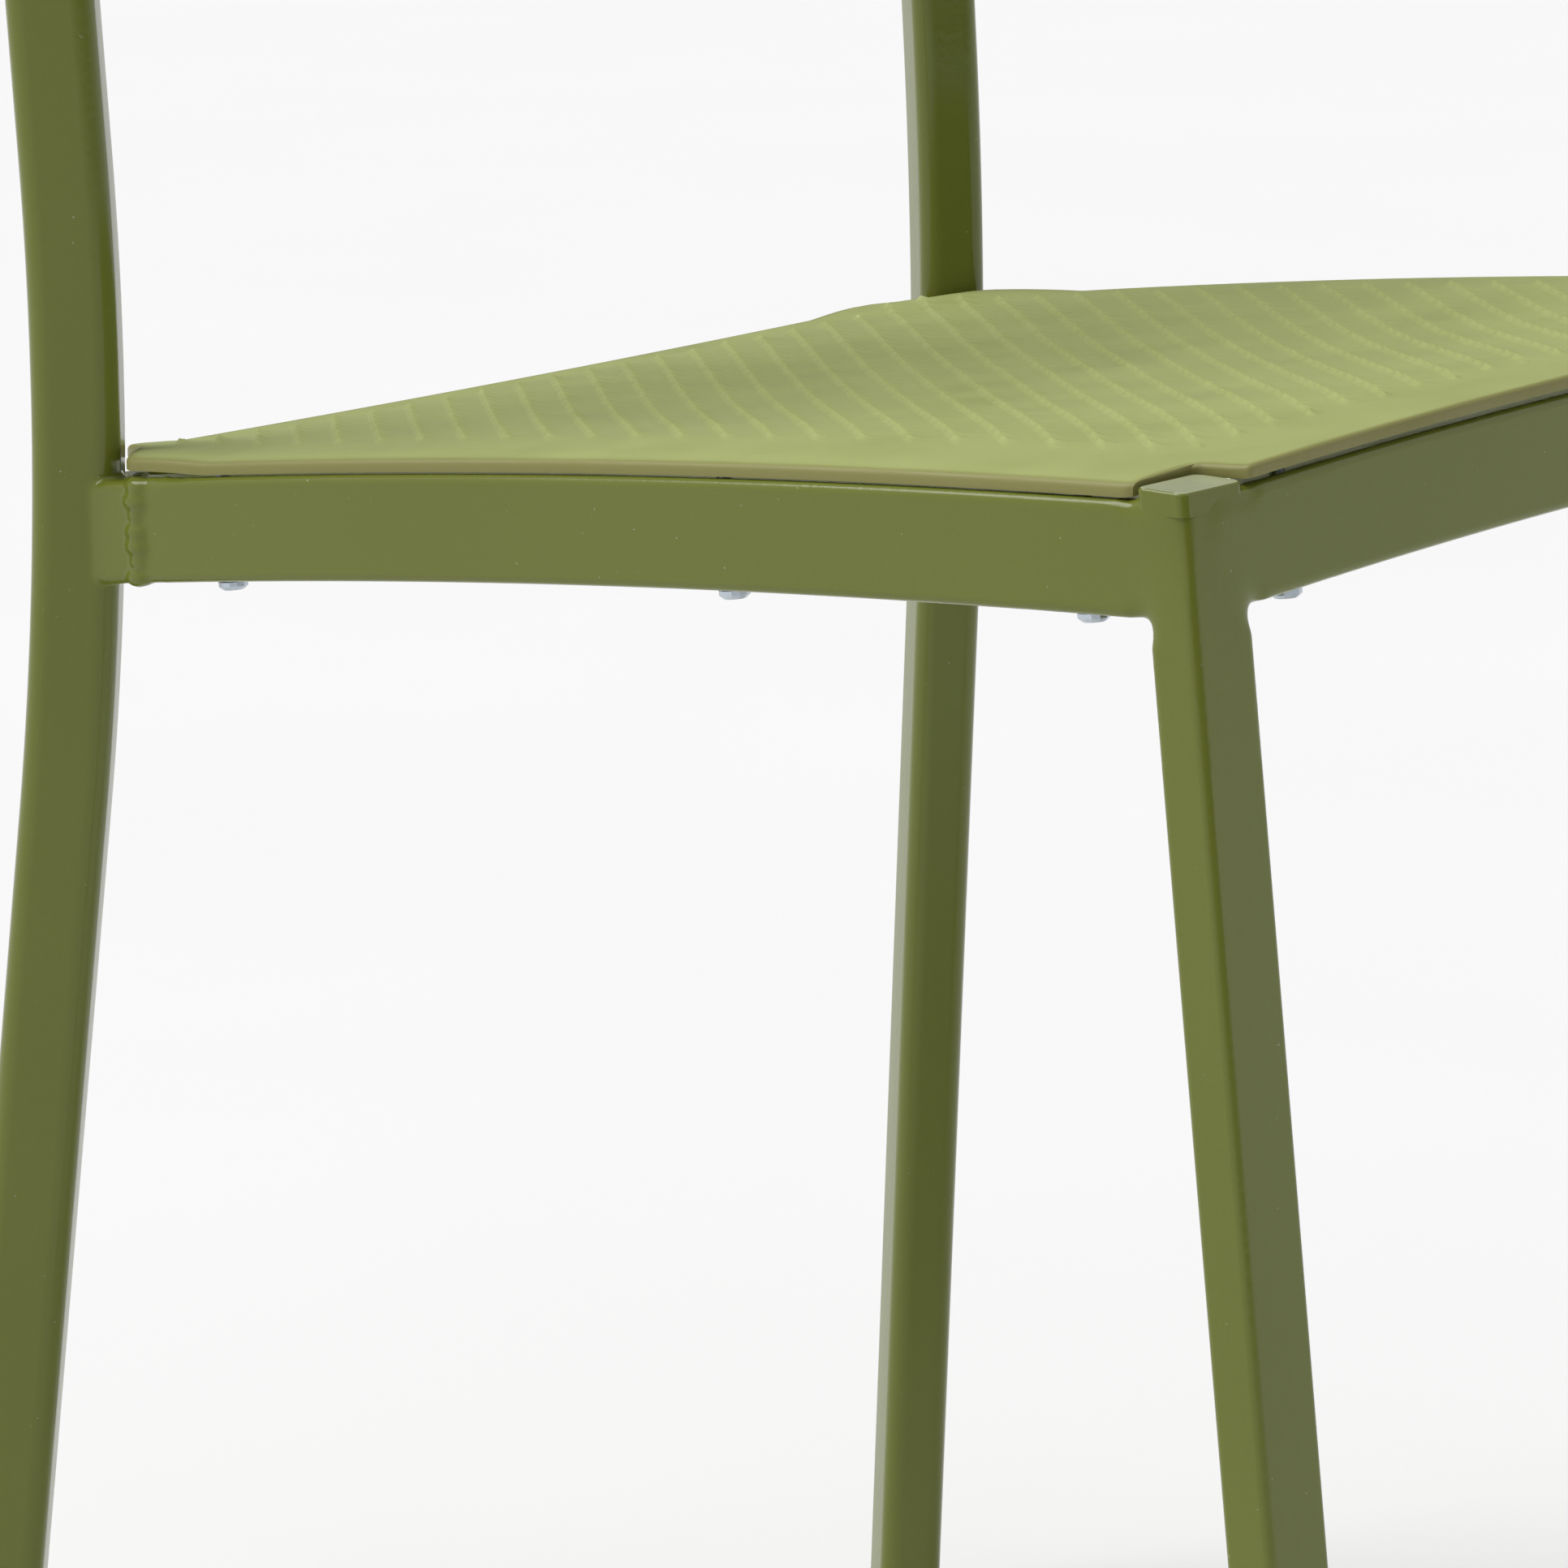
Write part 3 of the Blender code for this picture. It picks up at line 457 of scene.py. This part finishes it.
def panel_material():
    """Moulded polypropylene: satin, a little translucent, yellower where the edge is thin."""
    tones = (0.345, 0.385, 0.135), (0.353, 0.393, 0.140)
    material, tree, shader = surface("moulded_panel", tones, (0.58, 0.61, 0.46), 0.50, 0.05, 900.0, 2200.0)
    edge = node(tree, "ShaderNodeAttribute", attribute_name="rim")
    plain = shader.inputs["Base Color"].links[0].from_socket
    tinted = blend_colours(tree, edge.outputs["Fac"], plain, (0.200, 0.190, 0.050))
    tree.links.new(tinted, shader.inputs["Base Color"])
    shader.inputs["Subsurface Weight"].default_value = 0.12
    shader.inputs["Subsurface Radius"].default_value = (0.004, 0.004, 0.0015)
    shader.inputs["Subsurface Scale"].default_value = 1.0
    return material


def nylon_material():
    tones = (0.026, 0.030, 0.020), (0.034, 0.038, 0.027)
    return surface("glide_nylon", tones, (0.12, 0.12, 0.11), 0.5, 0.25, 1300.0, 2600.0)[0]


def zinc_material():
    tones = (0.46, 0.52, 0.58), (0.60, 0.66, 0.72)
    material, _, shader = surface("zinc_plate", tones, (0.75, 0.77, 0.80), 0.30, 0.12, 2500.0, 3000.0)
    shader.inputs["Metallic"].default_value = 1.0
    return material


# Frame ------------------------------------------------------------------------------------------------

def place_tube(name, outline, frames, nodes=(), end_round=0.0):
    weighted(place_piece(name, sweep_mesh(outline, frames, end_round), PAINT, nodes))


def build_side(side, rng):
    """A rear post, a front leg and a side rail, up to the joints at seat height."""
    tag = "left" if side > 0 else "right"
    post, leg, rail = rounded_rectangle(*POST), rounded_rectangle(*LEG), rounded_rectangle(*RAIL)
    foot = GLIDE_FOOT + GAP
    post_low, post_high = REAR_JOINT.z - POST_TRIM, REAR_JOINT.z + POST_TRIM
    leg_low = FRONT_JOINT.z - LEG_TRIM
    rail_rear, rail_front = REAR_JOINT.y - REAR_TRIM, FRONT_JOINT.y + RAIL_TRIM
    place_tube("rear_post_upper_" + tag, post, post_frames(side, post_high, TOTAL_HEIGHT),
               ("rear_post_" + tag, "rear_post_cap_" + tag), POST_END_ROUND)
    place_tube("rear_post_lower_" + tag, post, post_frames(side, foot, post_low))
    place_tube("front_leg_tube_" + tag, leg, leg_frames(side, foot, leg_low, STRAIGHT_STEPS),
               ("front_leg_" + tag, "front_leg_cap_" + tag))
    place_tube("side_rail_tube_" + tag, rail, side_rail_frames(side, rail_rear, rail_front, SIDE_RAIL_STEPS),
               ("side_rail_" + tag, "side_rail_weld_" + tag))
    build_front_corner(side, tag, leg, rail, leg_low, rail_front)
    build_rear_corner(side, tag, post, rail, (post_low, post_high), rail_rear, weld_blobs(side, rng))


def build_front_corner(side, tag, leg, rail, leg_low, rail_front):
    """The front leg's head, ground smooth into both rails, and its top plate."""
    inner = FRONT_JOINT.x - RAIL_TRIM
    across = steps_between(inner - SPARE, FRONT_JOINT.x, STUB_STEPS)
    stubs = [sweep_mesh(leg, leg_frames(side, leg_low - SPARE, LEG_TOP, STUB_STEPS), LEG_END_ROUND),
             sweep_mesh(rail, side_rail_frames(side, FRONT_JOINT.y, rail_front + SPARE, STUB_STEPS)),
             sweep_mesh(rail, [front_rail_frame(side * x) for x in across])]
    cuts = [(Vector((0, 0, leg_low)), Vector((0, 0, -1))),
            (Vector((0, rail_front, 0)), Vector((0, 1, 0))),
            (Vector((side * inner, 0, 0)), Vector((-side, 0, 0)))]
    corner = joint_mesh(stubs, cuts, FRONT_VOXEL, FRONT_BLEND, FRONT_ROUNDS)
    place_piece("front_corner_" + tag, corner, PAINT, sharp=JOINT_SHARP)
    plate = rounded_rectangle(LEG[0] + CAP_LIP, LEG[1] + CAP_LIP, LEG[2])
    low = FRONT_JOINT.z + RAIL[1] / 2 - CAP_DEPTH
    top = sweep_mesh(plate, leg_frames(side, low, LEG_TOP + CAP_LIP / 2, 3), CAP_ROUND)
    top_piece = place_piece("front_leg_top_" + tag, top, PAINT)
    # The faces that look up get the paler paint, a painted reflection on the leg's top.
    top_piece.data.materials.append(LEG_TOP_PAINTED_REFLECTION)
    for face in top_piece.data.polygons:
        if face.normal.z > CAP_FACING_UP:
            face.material_index = 1
    weighted(top_piece)


def build_rear_corner(side, tag, post, rail, post_span, rail_rear, blobs):
    """The rear post at seat height with the ends of both rails and the weld bead."""
    low, high = post_span
    inner = REAR_JOINT.x - RAIL_TRIM
    across = steps_between(inner - SPARE, REAR_JOINT.x, STUB_STEPS)
    stubs = [sweep_mesh(post, post_frames(side, low - SPARE, high + SPARE)),
             sweep_mesh(rail, side_rail_frames(side, rail_rear - SPARE, REAR_JOINT.y - RAIL_IN_POST,
                                               STUB_STEPS)),
             sweep_mesh(rail, [rear_rail_frame(side * x) for x in across])]
    cuts = [(Vector((0, 0, low)), Vector((0, 0, -1))),
            (Vector((0, 0, high)), Vector((0, 0, 1))),
            (Vector((0, rail_rear, 0)), Vector((0, -1, 0))),
            (Vector((side * inner, 0, 0)), Vector((-side, 0, 0)))]
    corner = joint_mesh(stubs, cuts, REAR_VOXEL, REAR_BLEND, REAR_ROUNDS, blobs)
    place_piece("rear_corner_" + tag, corner, PAINT, sharp=JOINT_SHARP)


def weld_blobs(side, rng):
    """The bead where a side rail meets its post, as overlapping lumps with their half sizes: up the
    rail's outer face, round its top and bottom, and paint runs along its top."""
    blobs = []
    outer = REAR_JOINT.x + SIDE_RAIL_OUTSET
    half = RAIL[1] / 2

    def add(x, y, up, size):
        blobs.append((Vector((side * x, y, side_rail_point(1, y).z + up)), size))

    for index in range(BEAD_LUMPS):
        up = -BEAD_HALF_HEIGHT + 2 * BEAD_HALF_HEIGHT * index / (BEAD_LUMPS - 1)
        y = REAR_JOINT.y - BEAD_FORWARD - BEAD_WANDER * rng.random()
        add(outer - BEAD_SINK, y, up, BEAD_LUMP * (0.8 + 0.4 * rng.random()))
    for index in range(TURN_LUMPS):
        x = outer - TURN_SINK - TURN_STEP_X * index
        y = REAR_JOINT.y - TURN_FORWARD + TURN_STEP_Y * index
        for level in (-1, 1):
            add(x, y, level * (half - TURN_LUMP_SINK), TURN_LUMP * (0.9 + 0.25 * rng.random()))
    for index in range(RUN_LUMPS):
        y = REAR_JOINT.y - RUN_FORWARD - RUN_STEP * index
        add(outer - RUN_SINK, y, half - RUN_LUMP_SINK, RUN_LUMP * (0.8 + 0.4 * rng.random()))
    return blobs


def build_frame():
    rng = random.Random(7)
    for side in (1, -1):
        build_side(side, rng)
    rail, back_rail = rounded_rectangle(*RAIL), rounded_rectangle(*BACK_RAIL)
    half = FRONT_JOINT.x - RAIL_TRIM
    front = [front_rail_frame(x) for x in steps_between(-half, half, FRONT_RAIL_STEPS)]
    place_tube("front_rail_tube", rail, front, ("front_rail",))
    half = REAR_JOINT.x - RAIL_TRIM
    rear = [rear_rail_frame(x) for x in steps_between(-half, half, REAR_RAIL_STEPS)]
    place_tube("rear_rail_tube", rail, rear, ("rear_rail",))
    for word, z in BACK_RAIL_HEIGHTS.items():
        half = post_point(1, z).x
        bowed = [back_rail_frame(x, z) for x in steps_between(-half, half, BACK_RAIL_STEPS)]
        place_tube(word + "_back_rail_tube", back_rail, bowed, (word + "_back_rail",))


# Panels -----------------------------------------------------------------------------------------------

def seat_underside(x, y):
    """Height of the seat panel's lower face."""
    share = min(1.0, abs(x) / FRONT_JOINT.x)
    along = max(-1.0, min(1.0, along_seat(y)))
    front = FRONT_ARCH * (1 - share ** 2) * (1 - along) / 2
    rear = -REAR_RAIL_DROP * (1 - share ** 2) * (1 + along) / 2
    edge = SIDE_ARCH * (1 - along ** 2) + front + rear
    inner_x = SIDE_RAIL_REAR_X - RAIL[0] / 2 - 0.002
    inner_front = FRONT_JOINT.y + RAIL[0] / 2 + 0.002
    inner_rear = REAR_JOINT.y - RAIL[0] / 2 - 0.002
    u = min(1.0, abs(x) / inner_x)
    v = min(1.0, abs(2 * y - inner_front - inner_rear) / (inner_rear - inner_front))
    dish = SEAT_DISH * (1 - u ** 3) ** 2 * (1 - v ** 3) ** 2
    towards = max(0.0, 1 - math.hypot(abs(x) - REAR_JOINT.x, y - REAR_JOINT.y) / CORNER_LIFT_REACH)
    lift = SEAT_CORNER_LIFT * towards * (2 - towards)
    inside = max(0.0, min(1.0, (side_rail_point(1, y).x + RAIL[0] / 2 - abs(x)) / CROWN_REACH))
    crown = SEAT_CROWN * inside * (2 - inside)
    return seat_plane(y) + RAIL[1] / 2 + PANEL_CLEARANCE + edge + crown - dish + lift


def seat_half_outline():
    """The panel's plan on one side, from the front edge round the leg and the post to the rear edge."""
    leg = leg_point(1, LEG_TOP)
    notch_x = leg.x - LEG[0] / 2 - NOTCH_CLEARANCE
    notch_y = leg.y + LEG[1] / 2 + NOTCH_CLEARANCE
    front = FRONT_JOINT.y - RAIL[0] / 2 + RIM_INSET
    rear = REAR_JOINT.y + REAR_RAIL_SET + RAIL[0] / 2 + SEAT_REAR_OVERHANG
    post = post_point(1, REAR_JOINT.z + RAIL[1] / 2).to_2d()
    inwards = Vector((-math.sin(POST_TURN), -math.cos(POST_TURN)))
    outwards = Vector((math.cos(POST_TURN), -math.sin(POST_TURN)))
    face = post + inwards * (POST[1] / 2 + POST_CLEARANCE)
    inner = face - outwards * (POST[0] / 2 + POST_CLEARANCE)
    rim_rear = side_rail_point(1, face.y).x + RAIL[0] / 2 - RIM_INSET
    rim_front = side_rail_point(1, notch_y).x + RAIL[0] / 2 - RIM_INSET
    rim_end = face + outwards * (rim_rear - face.x) / outwards.x
    corners = [(0, front), (notch_x, front), (notch_x, notch_y), (rim_front, notch_y), rim_end, inner,
               (REAR_JOINT.x - SEAT_REAR_SETIN, rear), (0, rear)]
    outline = [Vector(corners[0])]
    for before, corner, after, radius in zip(corners, corners[1:], corners[2:], SEAT_CORNER_RADII):
        corner = Vector(corner)
        entry = corner + (Vector(before) - corner).normalized() * radius
        leave = corner + (Vector(after) - corner).normalized() * radius
        for t in steps_between(0.0, 1.0, 6):
            outline.append(entry * (1 - t) ** 2 + corner * 2 * t * (1 - t) + leave * t * t)
    return outline + [Vector(corners[-1])]


def half_width(outline, y):
    widest = 0.0
    for a, b in zip(outline, outline[1:]):
        if min(a.y, b.y) - TINY <= y <= max(a.y, b.y) + TINY and abs(b.y - a.y) > TINY:
            widest = max(widest, a.x + (b.x - a.x) * (y - a.y) / (b.y - a.y))
    return widest


def distance_to(points, outline):
    ring = np.array([tuple(p) for p in outline])
    nearest = np.full(len(points), 1.0)
    for a, b in zip(ring, ring[1:]):
        run = b - a
        share = np.clip(((points - a) @ run) / max(run @ run, 1e-12), 0, 1)
        nearest = np.minimum(nearest, np.linalg.norm(points - a - share[:, None] * run, axis=1))
    return nearest


def smooth_step(low, high, value):
    t = np.clip((value - low) / (high - low), 0, 1)
    return t * t * (3 - 2 * t)


def relief(x, y, front, rear):
    """Steps along diagonal bands, each with a row of teeth that taper away from the step."""
    behind = np.mod(BAND_START - (y - x), BAND_PITCH)
    behind = np.where(behind > BAND_PITCH - 2e-5, 0.0, behind)
    step = STEP_HEIGHT * (1 - behind / BAND_PITCH) ** 2
    reach = np.clip(1 - behind / TOOTH_REACH, 0, 1) ** 2
    tooth = np.cos(2 * math.pi * (x - TOOTH_PHASE) / TOOTH_PITCH)
    rib = TOOTH_HEIGHT * (RIB_SHARE + (1 - RIB_SHARE) * reach) * ((1 + tooth) / 2) ** 3
    field = 1 - smooth_step(FIELD_HALF - FIELD_FADE, FIELD_HALF, np.abs(x))
    field *= smooth_step(front, front + FIELD_FADE, y) * (1 - smooth_step(rear - FIELD_FADE, rear, y))
    return field * (step + rib)


def edge_fall(distance):
    """How far a panel's face falls away at its rounded edge."""
    depth = np.clip(1 - distance / RIM_ROUNDING, 0, 1)
    return RIM_ROUNDING * (1 - np.sqrt(1 - depth ** 2))


def edged_rows(low, high, inner):
    return [low + step for step in EDGE_STEPS] + inner + [high - step for step in reversed(EDGE_STEPS)]


def row_places(field, half, shares):
    """Places across a panel: the grid's own, and beyond it shares of the way to each edge."""
    left, right = field[0], field[-1]
    return ([left + (-half - left) * t for t in reversed(shares)] + field
            + [right + (half - right) * t for t in shares])


def closed_slab(name, faces, backs, rows, distance):
    """A closed solid from two grids of points; the long diagonal of each cell follows the bands."""
    count = len(faces)
    index = np.arange(count).reshape(rows, count // rows)
    a, b, c, d = index[:-1, :-1], index[:-1, 1:], index[1:, 1:], index[1:, :-1]
    upper = np.concatenate([np.stack(three, -1).reshape(-1, 3) for three in ((a, b, c), (a, c, d))])
    lower = upper[:, ::-1] + count
    ring = np.concatenate((index[0, :], index[1:, -1], index[-1, -2::-1], index[-2:0:-1, 0]))
    after = np.roll(ring, -1)
    wall = np.concatenate((np.stack((ring, ring + count, after + count), -1),
                           np.stack((ring, after + count, after), -1)))
    mesh = bpy.data.meshes.new(name)
    points = np.vstack((faces, backs))
    mesh.from_pydata(points.tolist(), [], np.concatenate((upper, lower, wall)).tolist())
    rim = 1 - smooth_step(0.0, RIM_TINT_REACH, distance)
    attribute = mesh.attributes.new("rim", "FLOAT", "POINT")
    attribute.data.foreach_set("value", np.concatenate((rim, rim)).astype(np.float32))
    mesh.update()
    return mesh


def build_seat():
    """The seat panel, with its relief on top and a plain underside."""
    outline = seat_half_outline()
    front, rear = outline[0].y, outline[-1].y
    first = math.ceil((front + EDGE_BAND + BAND_START) / RIB_CELL)
    last = math.floor((rear - EDGE_BAND + BAND_START) / RIB_CELL)
    rows = edged_rows(front, rear, [n * RIB_CELL - BAND_START for n in range(first, last + 1)])
    shift = math.fmod(2 * BAND_START, RIB_CELL)
    half_count = int(FIELD_HALF / RIB_CELL)
    field = [n * RIB_CELL - shift for n in range(-half_count, half_count + 1)]
    places = []
    for y in rows:
        half = half_width(outline, min(max(y, front + 1e-6), rear - 1e-6))
        squeeze = min(1.0, (half - RIM_LEAST) / -field[0])
        row = row_places([x * squeeze for x in field], half, SEAT_MARGIN_SHARES)
        places += [(x, y) for x in row]
    flat = np.array(places)
    under = np.array([seat_underside(x, y) for x, y in places])
    distance = distance_to(np.column_stack((np.abs(flat[:, 0]), flat[:, 1])), outline)
    raised = relief(flat[:, 0], flat[:, 1], front + FIELD_FRONT_MARGIN, rear - FIELD_REAR_MARGIN)
    tops = np.column_stack((flat, under + PANEL_THICK - edge_fall(distance) + raised))
    drop = RIM_DROP * (1 - smooth_step(RIM_DROP_INNER, RIM_DROP_OUTER, distance))
    bottoms = np.column_stack((flat, under - drop))
    mesh = closed_slab("seat", tops, bottoms, len(rows), distance)
    place_piece("seat_panel_moulded", mesh, PANEL, ("seat_panel",))


def back_outline(half, tall):
    """The back panel's rounded rectangle, closed."""
    radius, steps = BACK_PANEL_ROUNDING, 8
    outline = []
    for turn, (sx, sz) in enumerate(((1, 1), (-1, 1), (-1, -1), (1, -1))):
        centre = Vector((sx * (half - radius), sz * (tall - radius)))
        for step in range(steps + 1):
            angle = math.pi / 2 * (turn + step / steps)
            outline.append(centre + radius * Vector((math.cos(angle), math.sin(angle))))
    return outline + [outline[0]]


def build_back():
    """The back panel, bowed like its rails, with the same relief on its front face."""
    middle = (BACK_PANEL_BOTTOM + BACK_PANEL_TOP) / 2
    half = post_point(1, middle).x - POST[0] / 2 * math.cos(POST_TURN)
    half -= POST[1] / 2 * math.sin(POST_TURN) + BACK_PANEL_SIDE_GAP
    tall = (BACK_PANEL_TOP - BACK_PANEL_BOTTOM) / 2
    radius = BACK_PANEL_ROUNDING
    count = round(2 * (tall - EDGE_BAND) / RIB_CELL)
    inner_rows = [-tall + EDGE_BAND + 2 * (tall - EDGE_BAND) * n / count for n in range(count + 1)]
    rows = edged_rows(-tall, tall, inner_rows)
    half_count = int((half - BACK_FIELD_MARGIN) / RIB_CELL)
    field = [n * RIB_CELL for n in range(-half_count, half_count + 1)]
    places = []
    for level in rows:
        inside = max(0.0, abs(level) - (tall - radius))
        width = half - radius + math.sqrt(max(radius ** 2 - inside ** 2, 0.0))
        places += [(x, level) for x in row_places(field, width, BACK_MARGIN_SHARES)]
    flat = np.array(places)
    distance = distance_to(flat, back_outline(half, tall))
    spread = FIELD_HALF / (half - FIELD_REAR_MARGIN)
    raised = relief(flat[:, 0] * spread, flat[:, 1], -tall + FIELD_REAR_MARGIN, tall - FIELD_REAR_MARGIN)
    to_rail = (BACK_RAIL[0] / 2 + PANEL_CLEARANCE) / math.cos(BACK_TILT)
    rear = np.array([back_rail_point(x, middle + level).y - to_rail for x, level in places])
    fall = edge_fall(distance)
    heights = middle + flat[:, 1]
    front = rear - PANEL_THICK / math.cos(BACK_TILT) + fall - raised
    fronts = np.column_stack((flat[:, 0], front, heights))
    rears = np.column_stack((flat[:, 0], rear - 0.5 * fall, heights))
    mesh = closed_slab("back", fronts, rears, len(rows), distance)
    place_piece("back_panel_moulded", mesh, PANEL, ("back_panel",))


# Light and camera -----------------------------------------------------------------------------------

CAMERA_AT = Vector((-1.4982, -1.1737, 0.7735))
LOOK_AZIMUTH = math.radians(40.60)
LOOK_PITCH = math.radians(-12.83)
CAMERA_ROLL = math.radians(-0.2)
LENS_MM, SENSOR_MM = 165.3727, 36.0
FLOOR_HALF = 30
FLOOR_TONES = (0.798, 0.796, 0.792), (0.806, 0.804, 0.800)
SKY, DARK = (0.80, 0.80, 0.81), (0.10, 0.10, 0.11)
FRONT_DARK, REAR_DARK = (-0.15, -0.98, 0.05), (0.72, 0.62, 0.25)
KEY_TOWARDS, KEY_SPREAD, KEY_STRENGTH = (0.34, -0.52, -1.0), 45, 2.15


def add_camera():
    data = bpy.data.cameras.new("camera")
    data.sensor_width = SENSOR_MM
    data.lens = LENS_MM
    data.clip_end = 60
    camera = bpy.data.objects.new("camera", data)
    bpy.context.scene.collection.objects.link(camera)
    level = math.cos(LOOK_PITCH)
    forward = Vector((math.cos(LOOK_AZIMUTH) * level, math.sin(LOOK_AZIMUTH) * level,
                      math.sin(LOOK_PITCH)))
    right = Vector((math.sin(LOOK_AZIMUTH), -math.cos(LOOK_AZIMUTH), 0))
    up = right.cross(forward)
    c, s = math.cos(CAMERA_ROLL), math.sin(CAMERA_ROLL)
    right, up = c * right + s * up, c * up - s * right
    turn = Matrix((right, up, -forward)).transposed().to_4x4()
    camera.matrix_world = Matrix.Translation(CAMERA_AT) @ turn
    bpy.context.scene.camera = camera


def add_floor():
    mesh = bpy.data.meshes.new("floor")
    corners = [(x * FLOOR_HALF, y * FLOOR_HALF, 0) for x, y in ((-1, -1), (1, -1), (1, 1), (-1, 1))]
    mesh.from_pydata(corners, [], [(0, 1, 2, 3)])
    floor = bpy.data.objects.new("floor", mesh)
    bpy.context.scene.collection.objects.link(floor)
    material, tree, shader = new_material("floor")
    coords = node(tree, "ShaderNodeTexCoord")
    tone = ranged(tree, noise(tree, coords, 3.0), 0.3, 0.7, 0.0, 1.0)
    colour = blend_colours(tree, tone.outputs["Result"], *FLOOR_TONES)
    tree.links.new(colour, shader.inputs["Base Color"])
    shader.inputs["Roughness"].default_value = 0.9
    shader.inputs["Specular IOR Level"].default_value = 0.1
    mesh.materials.append(material)


def add_key_light():
    """A wide, soft light from high up behind the chair's right side."""
    data = bpy.data.lights.new("key", "SUN")
    data.angle = math.radians(KEY_SPREAD)
    data.energy = KEY_STRENGTH
    light = bpy.data.objects.new("key", data)
    bpy.context.scene.collection.objects.link(light)
    light.rotation_euler = Vector(KEY_TOWARDS).to_track_quat("-Z", "Y").to_euler()


def add_world():
    """A bright sky, darker in front of the chair and low down beyond its rear left corner."""
    world = bpy.data.worlds.new("studio")
    bpy.context.scene.world = world
    world.use_nodes = True
    tree = world.node_tree
    back = tree.nodes["Background"]
    coords = node(tree, "ShaderNodeTexCoord")

    def lobe(towards, low, high):
        dot = node(tree, "ShaderNodeVectorMath", operation="DOT_PRODUCT")
        dot.inputs[1].default_value = Vector(towards).normalized()
        tree.links.new(coords.outputs["Generated"], dot.inputs[0])
        made = ranged(tree, dot.outputs["Value"], low, high, 0.0, 1.0)
        made.interpolation_type = "SMOOTHSTEP"
        return made.outputs["Result"]

    colour = blend_colours(tree, lobe(FRONT_DARK, 0.45, 0.95), SKY, DARK)
    colour = blend_colours(tree, lobe(REAR_DARK, 0.55, 0.90), colour, DARK)
    tree.links.new(colour, back.inputs["Color"])
    back.inputs["Strength"].default_value = 1.0


PAINT = paint_material()
# The paler paint for the front legs' tops, a painted reflection.
LEG_TOP_PAINTED_REFLECTION = leg_top_painted_reflection_material()
PANEL = panel_material()
NYLON = nylon_material()
ZINC = zinc_material()

build_frame()
build_seat()
build_back()
for name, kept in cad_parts.items():
    if "screw" in name:
        kept.data.materials[0] = ZINC
    elif "glide" in name:
        kept.data.materials[0] = NYLON

add_camera()
add_floor()
add_world()
add_key_light()
view = bpy.context.scene.view_settings
view.view_transform = "Standard"
view.look = "None"
